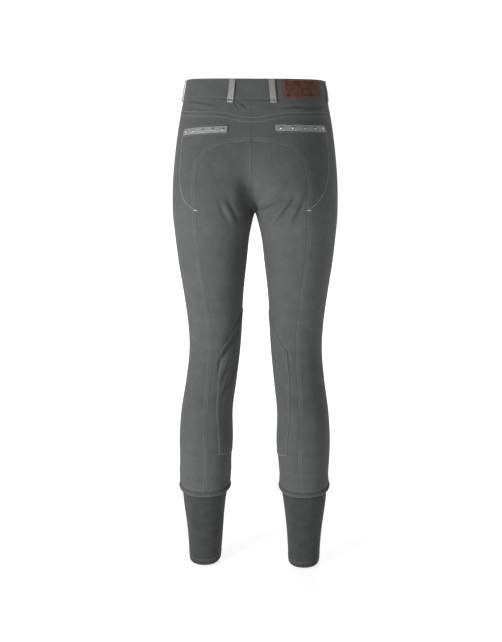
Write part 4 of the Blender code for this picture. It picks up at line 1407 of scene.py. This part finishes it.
# %% [markdown]
# ## Knee patches and fly
#
# A second layer covers the inner leg from above the knee to the calf, where the leg
# rubs the saddle. It lies on the other panels, so its edge is a visible step with a row
# of stitches just inside. The fly on the left front is a strip with a curved toe.

# %% Knee patches
KNEE_EDGES = (
    ((105, -506), (140, -462), (180, -438), (208, -448), (232, -476)),
    ((119.5, -715), (150, -722), (190, -724), (222, -715)),
    ((105, -506), (105, -556), (111, -620), (117, -667), (119.5, -715)),
    ((232, -476), (236, -560), (228, -650), (222, -715)),
)
CHORD_ROOM = 0.0003
KNEE = [curve(marks) for marks in KNEE_EDGES]
KNEE_CLOTH = 0.0011
KNEE_LIFT = SEAM_GAP + KNEE_CLOTH
KNEE_ROW = 0.0013
KNEE_DROP = 0.0008
LAID_RIDGE = 0.0002

grid = fill(*KNEE, shares(0.150, step=0.0026), shares(0.240, step=0.0026))
edges = [Edge(line, (KNEE_ROW,), LAID_RIDGE, 0.0050, KNEE_DROP) for line in KNEE]
both_sides("knee_patch", [grid], edges, thickness=KNEE_CLOTH, lift=KNEE_LIFT, gap=0)

# %% Fly
FLY_WIDTH = 0.030
FLY_LENGTH = 0.165
FLY_OFF_SEAM = 0.0002
FLY_LIFT = SEAM_GAP + 2 * CHORD_ROOM + CLOTH


def fly_grid():
    """A strip beside the front centre seam. Its free edge curves in to the toe."""
    down, across = shares(FLY_LENGTH), shares(FLY_WIDTH)
    seam = at_shares(CENTRE_FRONT, down * FLY_LENGTH / lengths(CENTRE_FRONT)[-1])
    widths = FLY_WIDTH * (1 - 0.55 * np.clip((down - 0.5) / 0.5, 0, 1) ** 2)
    away = FLY_OFF_SEAM + widths[:, None] * across
    return np.array([[beside(seam, -far)[i] for far in row] for i, row in enumerate(away)])


FLY = fly_grid()
edges = [Edge(line, (BAND_ROW,), LAID_RIDGE, 0.005) for line in (FLY[:, -1], FLY[-1])]
cloth("fly_flap", -1, [FLY], [*edges, Edge(FLY[0]), Edge(FLY[:, 0])], lift=FLY_LIFT, gap=0)

# %% [markdown]
# ## Rolled hems and cuffs
#
# Leg and cuff meet in a thick rolled seam, as if the leg's hem were turned up over the
# cuff. It is a ring with an oval section that swells and puckers a little on its way
# round. The cuff is a thin tube, folded up and cover-stitched at its hem. Its top edge
# is tucked in under the roll.

# %% Rolled hems
ROLL_HEIGHT = 0.011
ROLL_DEPTH = 0.0052
ROLL_SHOULDER = 0.0022
ROLL_PUCKER = 0.00030
LEAST_OUT = 0.00012


def roll_ring(side, columns=220, around=18):
    """The roll's points: one oval section at each angle."""
    angles = np.linspace(0, 360, columns, endpoint=False)
    turn = np.linspace(0, 2 * np.pi, around, endpoint=False)
    points, out = wall(side, angles, roll_middle(angles))
    a = np.radians(angles)[:, None]
    slow, quick = 1 + np.sin(5 * a + side), 1 + np.sin(11 * a + 2.0 * side)
    swell = 1 - 0.07 * slow * 0.5 - 0.05 * quick * 0.5
    pucker = ROLL_PUCKER * np.sin(31 * a + 1.3 * np.sin(4 * a))
    pucker = pucker * np.clip(np.cos(turn) + 0.3, 0, 1)[None]
    shoulder = ROLL_SHOULDER * np.clip(np.sin(turn), 0, 1)[None] ** 1.2
    outward = SEAM_GAP + ROLL_DEPTH / 2 * (1 + np.cos(turn)[None] * swell) - ROLL_DEPTH * 0.06
    outward = np.maximum(outward + pucker - shoulder, LEAST_OUT)
    ring = points[:, None] + out[:, None] * outward[..., None]
    ring[..., 2] += ROLL_HEIGHT / 2 * np.sin(turn)[None] * swell * 0.96 + side * ROLL_SHIFT + 0 * a
    return ring


def hem_roll(side):
    ring = roll_ring(side)
    columns, around = ring.shape[:2]
    i, j = np.meshgrid(np.arange(columns), np.arange(around), indexing="ij")
    a, b = i * around, (i + 1) % columns * around
    beyond = (j + 1) % around
    quads = np.stack([a + j, b + j, b + beyond, a + beyond], -1).reshape(-1, 4)
    flat = np.broadcast_arrays(i[..., None] + [0, 1, 1, 0], j[..., None] + [0, 0, 1, 1])
    uv = np.stack(flat, -1).reshape(-1, 4, 2) * (0.0016, 0.0015)
    if side > 0:
        quads, uv = quads[:, ::-1], uv[:, ::-1]
    name, no_ridge_highlight = f"hem_roll_{WORD[side]}", np.zeros(columns * around)
    return mesh_object(name, ring.reshape(-1, 3), quads, TWILL, uv, no_ridge_highlight)


ROLLS = {side: hem_roll(side) for side in WORD}
print("rolled hems:", [roll.name for roll in ROLLS.values()])

# %% Cuffs
CUFF_CLOTH = 0.0012
CUFF_TUCK = 0.0002
TUCK_DEPTH = 0.0022
TUCK_LENGTH = 0.0095
CUFF_HEM = 0.0125
CUFF_ROWS = (0.0100, 0.0118)


def cuff_grid(length=0.157, girth=0.270):
    angles = 360 * np.linspace(0, 1, int(girth / 0.0034) + 1)
    rows = shares(length, start=False, step=0.0036)[:, None]
    top = roll_middle(angles) - SEAM_GAP
    return np.stack(np.broadcast_arrays(angles, top * (1 - rows) + hem(angles) * rows), -1)


CUFF = cuff_grid()
under_roll = CUFF[:1, :, 1] - CUFF[..., 1]
cuff_lift = -CUFF_TUCK - TUCK_DEPTH * np.exp(-((under_roll / TUCK_LENGTH) ** 2))
round_hem = np.linspace(0, 360, 300)
HEM_LINE = np.stack([round_hem, hem(round_hem)], -1)
edges = (Edge(HEM_LINE, CUFF_ROWS, ALLOWANCE, CUFF_HEM),)
both_sides("cuff", [CUFF], edges, thickness=CUFF_CLOTH, finish="cuff_jersey", lift=cuff_lift, gap=0)

# %% [markdown]
# ## Silver trim, stones and leather
#
# Six belt loops and two slanting pocket welts are cut from silver canvas. A loop is a
# folded strip, caught at the band's top edge and below the band, slack in between. Each
# welt carries five faceted stones in dark cups. A plain leather patch covers the band
# on the right back.

# %% Belt loops
LOOP_WIDTH = 0.011
LOOP_BELOW_BAND = 0.007
LOOP_ROW = 0.0020
Loop = namedtuple("Loop", "angle lean slack")
LOOP_PLACES = {
    "back": Loop(91.0, 0.0022, 0.0015),
    "side": Loop(9.5, 0.0, 0.0010),
    "front": Loop(-75.0, 0.0, 0.0015),
}


def loop_grid(angle, lean, slack):
    """A loop's grid, leaning in at its top, and how far each row stands off the cloth."""
    front, back = end_angles(np.zeros(1))
    turn = angle / float(back[0] if angle > 0 else front[0])
    ends, _ = smooth_wall(1, np.array([angle - 1, angle + 1]), np.zeros(2))
    half = LOOP_WIDTH / np.linalg.norm(ends[1] - ends[0]) * turn / abs(angle)
    fall = np.linspace(0, 1, 30)[:, None]
    start, stop = band_top(turn), band_foot(turn) - LOOP_BELOW_BAND
    across = shares(LOOP_WIDTH, step=0.0016)[None] * 2 - 1
    leaning = across + 2 * lean / LOOP_WIDTH * (1 - fall)
    grid = at_turns(turn + half * leaning, start + (stop - start) * fall)
    on_band = np.clip((1 - fall) * (start - stop) / LOOP_BELOW_BAND, 0, 1)
    return grid, SEAM_GAP + BAND_PROUD * on_band + slack * np.sin(np.pi * fall)


LOOPS = {place: loop_grid(*loop) for place, loop in LOOP_PLACES.items()}
for place, (grid, stand) in LOOPS.items():
    edges = [Edge(grid[:, i], (LOOP_ROW,)) for i in (0, -1)]
    canvas = {"finish": "silver_canvas", "lift": stand + CLOTH, "gap": 0}
    both_sides(f"belt_loop_{place}", [grid], edges, **canvas)

# %% Pocket welts
WELT_HEIGHT = 0.0115
WELT_CLOTH = 0.0013
WELT_BOW = 0.0018
WELT_LIFT = SEAM_GAP + CHORD_ROOM / 2
Welt = namedtuple("Welt", "inner_angle inner_height outer_angle outer_height studs")
WELTS = {
    1: Welt(93.2, -0.0665, 37.0, -0.0734, (87.5, 42.0)),
    -1: Welt(92.6, -0.0695, 43.5, -0.0803, (88.6, 47.5)),
}


def welt_middle(side, share):
    """The middle of a welt, which bows up a little."""
    inner, inner_z, outer, outer_z, _ = WELTS[side]
    bow = WELT_BOW * np.sin(np.pi * np.clip(share, 0, 1))
    height = inner_z + (outer_z - inner_z) * share + bow
    return np.stack([inner + (outer - inner) * share, height], -1)


def welt_line(side, up=0.0, longer=0.0):
    """A line along a welt, moved up from its middle and made longer at both ends."""
    return welt_middle(side, np.linspace(-longer, 1 + longer, 90)) + (0, up)


welt_shares = shares(0.13, step=0.003), shares(WELT_HEIGHT, step=0.0012)
canvas = (WELT_CLOTH, "silver_canvas", WELT_LIFT + WELT_CLOTH, 0)
for side, word in WORD.items():
    top, foot = (welt_line(side, way * WELT_HEIGHT / 2) for way in (1, -1))
    grid = fill(top, foot, *(layout_line(top[i], foot[i]) for i in (0, -1)), *welt_shares)
    edges = [Edge(line, STITCH_ROWS[:1]) for line in (top, foot)]
    cloth(f"pocket_welt_{word}", side, [grid], edges, *canvas)

# %% Leather patch
PATCH_ANGLES = (33.0, 80.5)
PATCH_MARGIN = 0.0008
PATCH_ROW = 0.0024
PATCH_LEATHER = 0.0014
PATCH_LIFT = BAND_PROUD + SEAM_GAP + CHORD_ROOM / 3


def patch_line(down):
    """A line along the patch: 0 is its top edge, 1 its foot."""
    turns = np.linspace(*PATCH_ANGLES, 120) / end_angles(np.zeros(1))[1][0]
    top, foot = band_top(turns) - PATCH_MARGIN, band_foot(turns) + PATCH_MARGIN
    return at_turns(turns, top + (foot - top) * down)


top, foot = patch_line(0), patch_line(1)
ends = [layout_line(top[i], foot[i]) for i in (0, -1)]
patch_grid = fill(top, foot, *ends, shares(0.10, step=0.003), shares(0.035, step=0.003))
edges = [Edge(line, (PATCH_ROW,), 0.0, 0.004) for line in (top, foot, *ends)]
top_of_patch = PATCH_LIFT + PATCH_LEATHER
cloth("leather_patch", 1, [patch_grid], edges, PATCH_LEATHER, "brown_leather", top_of_patch, 0)


# %% Stones and their cups
def turned_frame(side, angle, height, lift):
    """A place on the cloth and three axes there, the last one pointing out."""
    point, out = wall(side, np.array([float(angle)]), np.array([float(height)]))
    right = unit(np.cross([0.0, 0.0, 1.0], out[0]))
    return point[0] + out[0] * lift, np.stack([right, np.cross(out[0], right), out[0]])


def lathe(rings_mm, sides, twist=0.0):
    """Corners and faces of a solid of revolution round Z, closed at both ends."""
    corners, faces = [], []
    rings = [(radius * MM, z * MM) for radius, z in rings_mm]
    for k, (radius, z) in enumerate(rings):
        turn = np.linspace(0, 2 * np.pi, sides, endpoint=False) + twist * k
        corners += [(radius * np.cos(t), radius * np.sin(t), z) for t in turn]
    for k in range(len(rings) - 1):
        for j in range(sides):
            a, b = k * sides + j, k * sides + (j + 1) % sides
            faces += [(a, b, b + sides), (a, b + sides, a + sides)]
    for k, flip in ((0, True), (len(rings) - 1, False)):
        middle = len(corners)
        corners.append((0, 0, rings[k][1]))
        ring = [k * sides + j for j in range(sides)]
        for a, b in zip(ring, ring[1:] + ring[:1]):
            faces.append((b, a, middle) if flip else (a, b, middle))
    return np.array(corners), faces


MM = 0.001
STONES = 5
STONE_RINGS = (1.2, 0.05), (2.02, 0.55), (2.02, 0.75), (1.62, 1.15), (1.05, 1.48)
CUP_RINGS = (2.2, 0.0), (2.42, 0.15), (2.45, 0.5), (2.3, 0.86), (2.08, 0.9), (2.0, 0.7)
stone_at, stone_faces = lathe(STONE_RINGS, 10, np.pi / 10)
cup_at, cup_faces = lathe(CUP_RINGS, 28)
cups = {side: [] for side in WORD}
for side, word in WORD.items():
    welt = WELTS[side]
    for i, angle in enumerate(np.linspace(*welt.studs, STONES)):
        share = (angle - welt.inner_angle) / (welt.outer_angle - welt.inner_angle)
        height = welt_middle(side, np.array([share]))[0, 1]
        place, axes = turned_frame(side, angle, height, WELT_LIFT + WELT_CLOTH + SEAM_GAP / 2)
        corners = place + stone_at @ axes
        mesh_object(f"stone_{word}_{i + 1}", corners, stone_faces, "stone", smooth=False)
        cups[side].append(place + cup_at @ axes)
for side, word in WORD.items():
    starts = np.arange(STONES)[:, None, None] * len(cup_at)
    faces = (np.array(cup_faces) + starts).reshape(-1, 3)
    mesh_object(f"stone_cups_{word}", np.concatenate(cups[side]), faces, "button_metal")
print("stones on each welt:", STONES)

# %% Waist button
BUTTON_IN_LAP = 0.45
BUTTON_RINGS = (
    *((7.9, -1.2), (8.45, -0.8), (8.5, 0.3), (8.3, 0.95), (7.7, 1.2)),
    *((6.9, 1.05), (6.5, 0.55), (5.9, 0.4), (3.2, 0.55), (1.2, 0.8)),
)
BUTTON_LIFT = BAND_PROUD + BAND + 2 * SEAM_GAP + 0.0012
button_turn = -(1 - BUTTON_IN_LAP * LAP / half_front)
button_height = float((band_top(button_turn) + band_foot(button_turn)) / 2)
button_angle = at_turns(button_turn, button_height)[0]
place, axes = turned_frame(1, button_angle, button_height, BUTTON_LIFT)
corners, faces = lathe(BUTTON_RINGS, 48)
mesh_object("waist_button_turned", place + corners @ axes, faces, "button_metal")
print("button at height", round(button_height, 4))

# %% [markdown]
# ## All the stitching
#
# Thread shows where the breeches are put together: two rows along each topstitched
# seam, one row round every patch and the waistband, pale rows that curve from the
# pockets to the seat seam, and bartacks where a seam takes strain. Each row is a seam's
# line moved sideways, so it follows the cloth exactly.

# %% Rows along the seams
YOKE_ROWS = (-0.0012, 0.0064)
ABOVE_ROLL = 0.0095
FLY_FOLD_ROWS = (0.0105, 0.0195)
KNEE_BATCHES = ("seam_thread", "knee_thread", "knee_thread", "seam_thread")


def print_rows():
    print("rows sewn so far:", sum(map(len, SEWN.values())))


for side, word in WORD.items():
    batch = f"seam_thread_{word}"
    topstitch(batch, side, SEAT, 1)
    for row in YOKE_ROWS:
        sew(f"thread_at_yoke_{word}", side, beside(YOKE, row), 0.00035, thick=0.0007)
    topstitch(batch, side, between(SIDE, 0.034, None), -1)
    topstitch(batch, side, FRONT_INSEAM, -1)
    sew(batch, side, roll_line(0, 360) + (0, ABOVE_ROLL + side * ROLL_SHIFT))
    for row in CUFF_ROWS:
        sew(batch, side, HEM_LINE + (0, row), LOW)
    for line, toward, sewn in zip(KNEE, (1, -1, -1, 1), KNEE_BATCHES):
        sew(f"{sewn}_{word}", side, beside(line, toward * KNEE_ROW), KNEE_LIFT - 0.0001)
topstitch("seam_thread_left", -1, between(CENTRE_BACK, 0, lengths(CENTRE_BACK)[-1] - 0.012), 1)
sew("seam_thread_left", -1, beside(FLY[:, -1], BAND_ROW), FLY_LIFT + LOW)
fly_seam, fly_edge = FLY[:-14, 0], FLY[:-14, -1]
for far in FLY_FOLD_ROWS:
    row = fly_seam + (fly_edge - fly_seam) * (1 - far / FLY_WIDTH)
    sew("seam_thread_left", -1, row, FLY_LIFT + LOW)
print_rows()

# %% Rows on the waistband
for stop, side in ((1.0, 1), (1.0, -1), (-0.86, 1), (-0.90, -1)):
    turns = np.linspace(0.0, stop, 160)
    for heights in (band_top(turns) - BAND_ROW, band_foot(turns) + BAND_ROW):
        sew("band_thread", side, at_turns(turns, heights), BAND_PROUD + LOW)
print_rows()

# %% Pale pocket curves and their tacks
POCKET_CURVES = {
    -1: ((39.8, -87), (45.1, -135), (49.2, -166), (58.9, -198), (68.9, -213), (77.7, -220)),
    1: ((34.6, -77), (37.6, -121), (43, -154), (51.3, -179), (63.6, -203), (76.3, -218)),
}
for side, marks in POCKET_CURVES.items():
    line = curve(marks)
    sew("pocket_thread", side, line, thick=0.00062)
    tack("pocket_thread", side, line[-1, 0] - 1.5, line[-1, 1], 0.0022, 0.0075, upright=False)
print_rows()

# %% Rows round the welts, the loops and the patch
OFF_WELT = 0.0022
PATCH_ROWS = (0.07, 0.93)
for side, word in WORD.items():
    welt = WELTS[side]
    for way in (1, -1):
        reach = WELT_HEIGHT * way * 0.5 + way * OFF_WELT
        sew("rows_at_welts", side, welt_line(side, reach, 0.02), 0.0004)
    ends = (welt.inner_angle + 1.0, welt.inner_height), (welt.outer_angle - 1.0, welt.outer_height)
    for angle, height in ends:
        tack("welt_thread", side, angle, height, 0.0015, WELT_HEIGHT + 0.002)
    for grid, stand in LOOPS.values():
        angle, height = grid[-4, :, 0].mean(), grid[-4, :, 1].mean()
        lift = float(stand[-4, 0]) + CLOTH + LOW
        tack("loop_thread", side, angle, height, 0.0024, LOOP_WIDTH * 0.8, lift, upright=False)
rows = [patch_line(down) for down in PATCH_ROWS]
patch_lift = top_of_patch + LOW
for row in rows:
    sew("patch_thread", 1, row[3:-3], patch_lift)
for end, way, batch in ((0, 1.4, "patch_thread"), (-1, -1.4, "patch_end_thread")):
    sew(batch, 1, layout_line(rows[0][end], rows[1][end]) + (way, 0), patch_lift)

# %% Turn the batches into meshes
BATCH_FINISH = {
    "seam_thread_right": "thread_tone",
    "seam_thread_left": "thread_tone",
    # painted highlight: the right knee's row gets the lighter thread and the left knee's the usual
    # tone, for the light caught along the right patch's edge
    "knee_thread_right": "thread_light",
    "knee_thread_left": "thread_tone",
    "thread_at_yoke_right": "thread_light",
    "thread_at_yoke_left": "thread_light",
    "band_thread": "thread_tone",
    "pocket_thread": "thread_pale",
    "rows_at_welts": "thread_light",
    "welt_thread": "thread_dark",
    "loop_thread": "thread_dark",
    "patch_thread": "thread_russet",
    "patch_end_thread": "thread_light",
}
for batch, finish in BATCH_FINISH.items():
    finish_stitches(batch, finish)

# %% [markdown]
# ## What stands for what
#
# Every dressed piece stands for a solid of the imported model and rides on its body.
# A table gives the size each piece of cloth was cut to. The cloth is stretched a
# little when worn, so it was cut slightly smaller than it measures here.

# %% Pair the pieces with the solids
for name, (piece, finish) in FINISHED.items():
    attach(piece, "root")
    node = name.replace("stone_", "stud_")
    node = "waist_button" if name == "waist_button_turned" else node
    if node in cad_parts:
        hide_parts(node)
print("pieces:", len(FINISHED))


def longest(line):
    return float(lengths(line)[-1])


FLAT_SIZES = {
    "back_leg": (0.205, longest(SIDE)),
    "seat": (0.165, longest(SEAT) + 0.03),
    "front_leg": (0.240, longest(SIDE) + 0.02),
    "yoke": (0.190, 0.045),
    "knee_patch": (0.185, 0.285),
    "cuff": (0.285, 0.160),
    "waistband_back": (0.385, 0.0375),
    "waistband_front": (0.225, 0.0385),
    "fly_flap": (0.032, 0.168),
    "belt_loop": (0.0125, 0.052),
    "pocket_welt": (0.140, 0.0125),
}
for name, (piece, finish) in FINISHED.items():
    kind = next((k for k in FLAT_SIZES if name.startswith(k)), None)
    if kind is None:
        continue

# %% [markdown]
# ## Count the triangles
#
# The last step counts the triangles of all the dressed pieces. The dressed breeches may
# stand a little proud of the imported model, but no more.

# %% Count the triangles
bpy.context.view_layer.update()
faces = [face for piece, _ in FINISHED.values() for face in piece.data.polygons]
print("triangles:", sum(len(face.vertices) - 2 for face in faces))
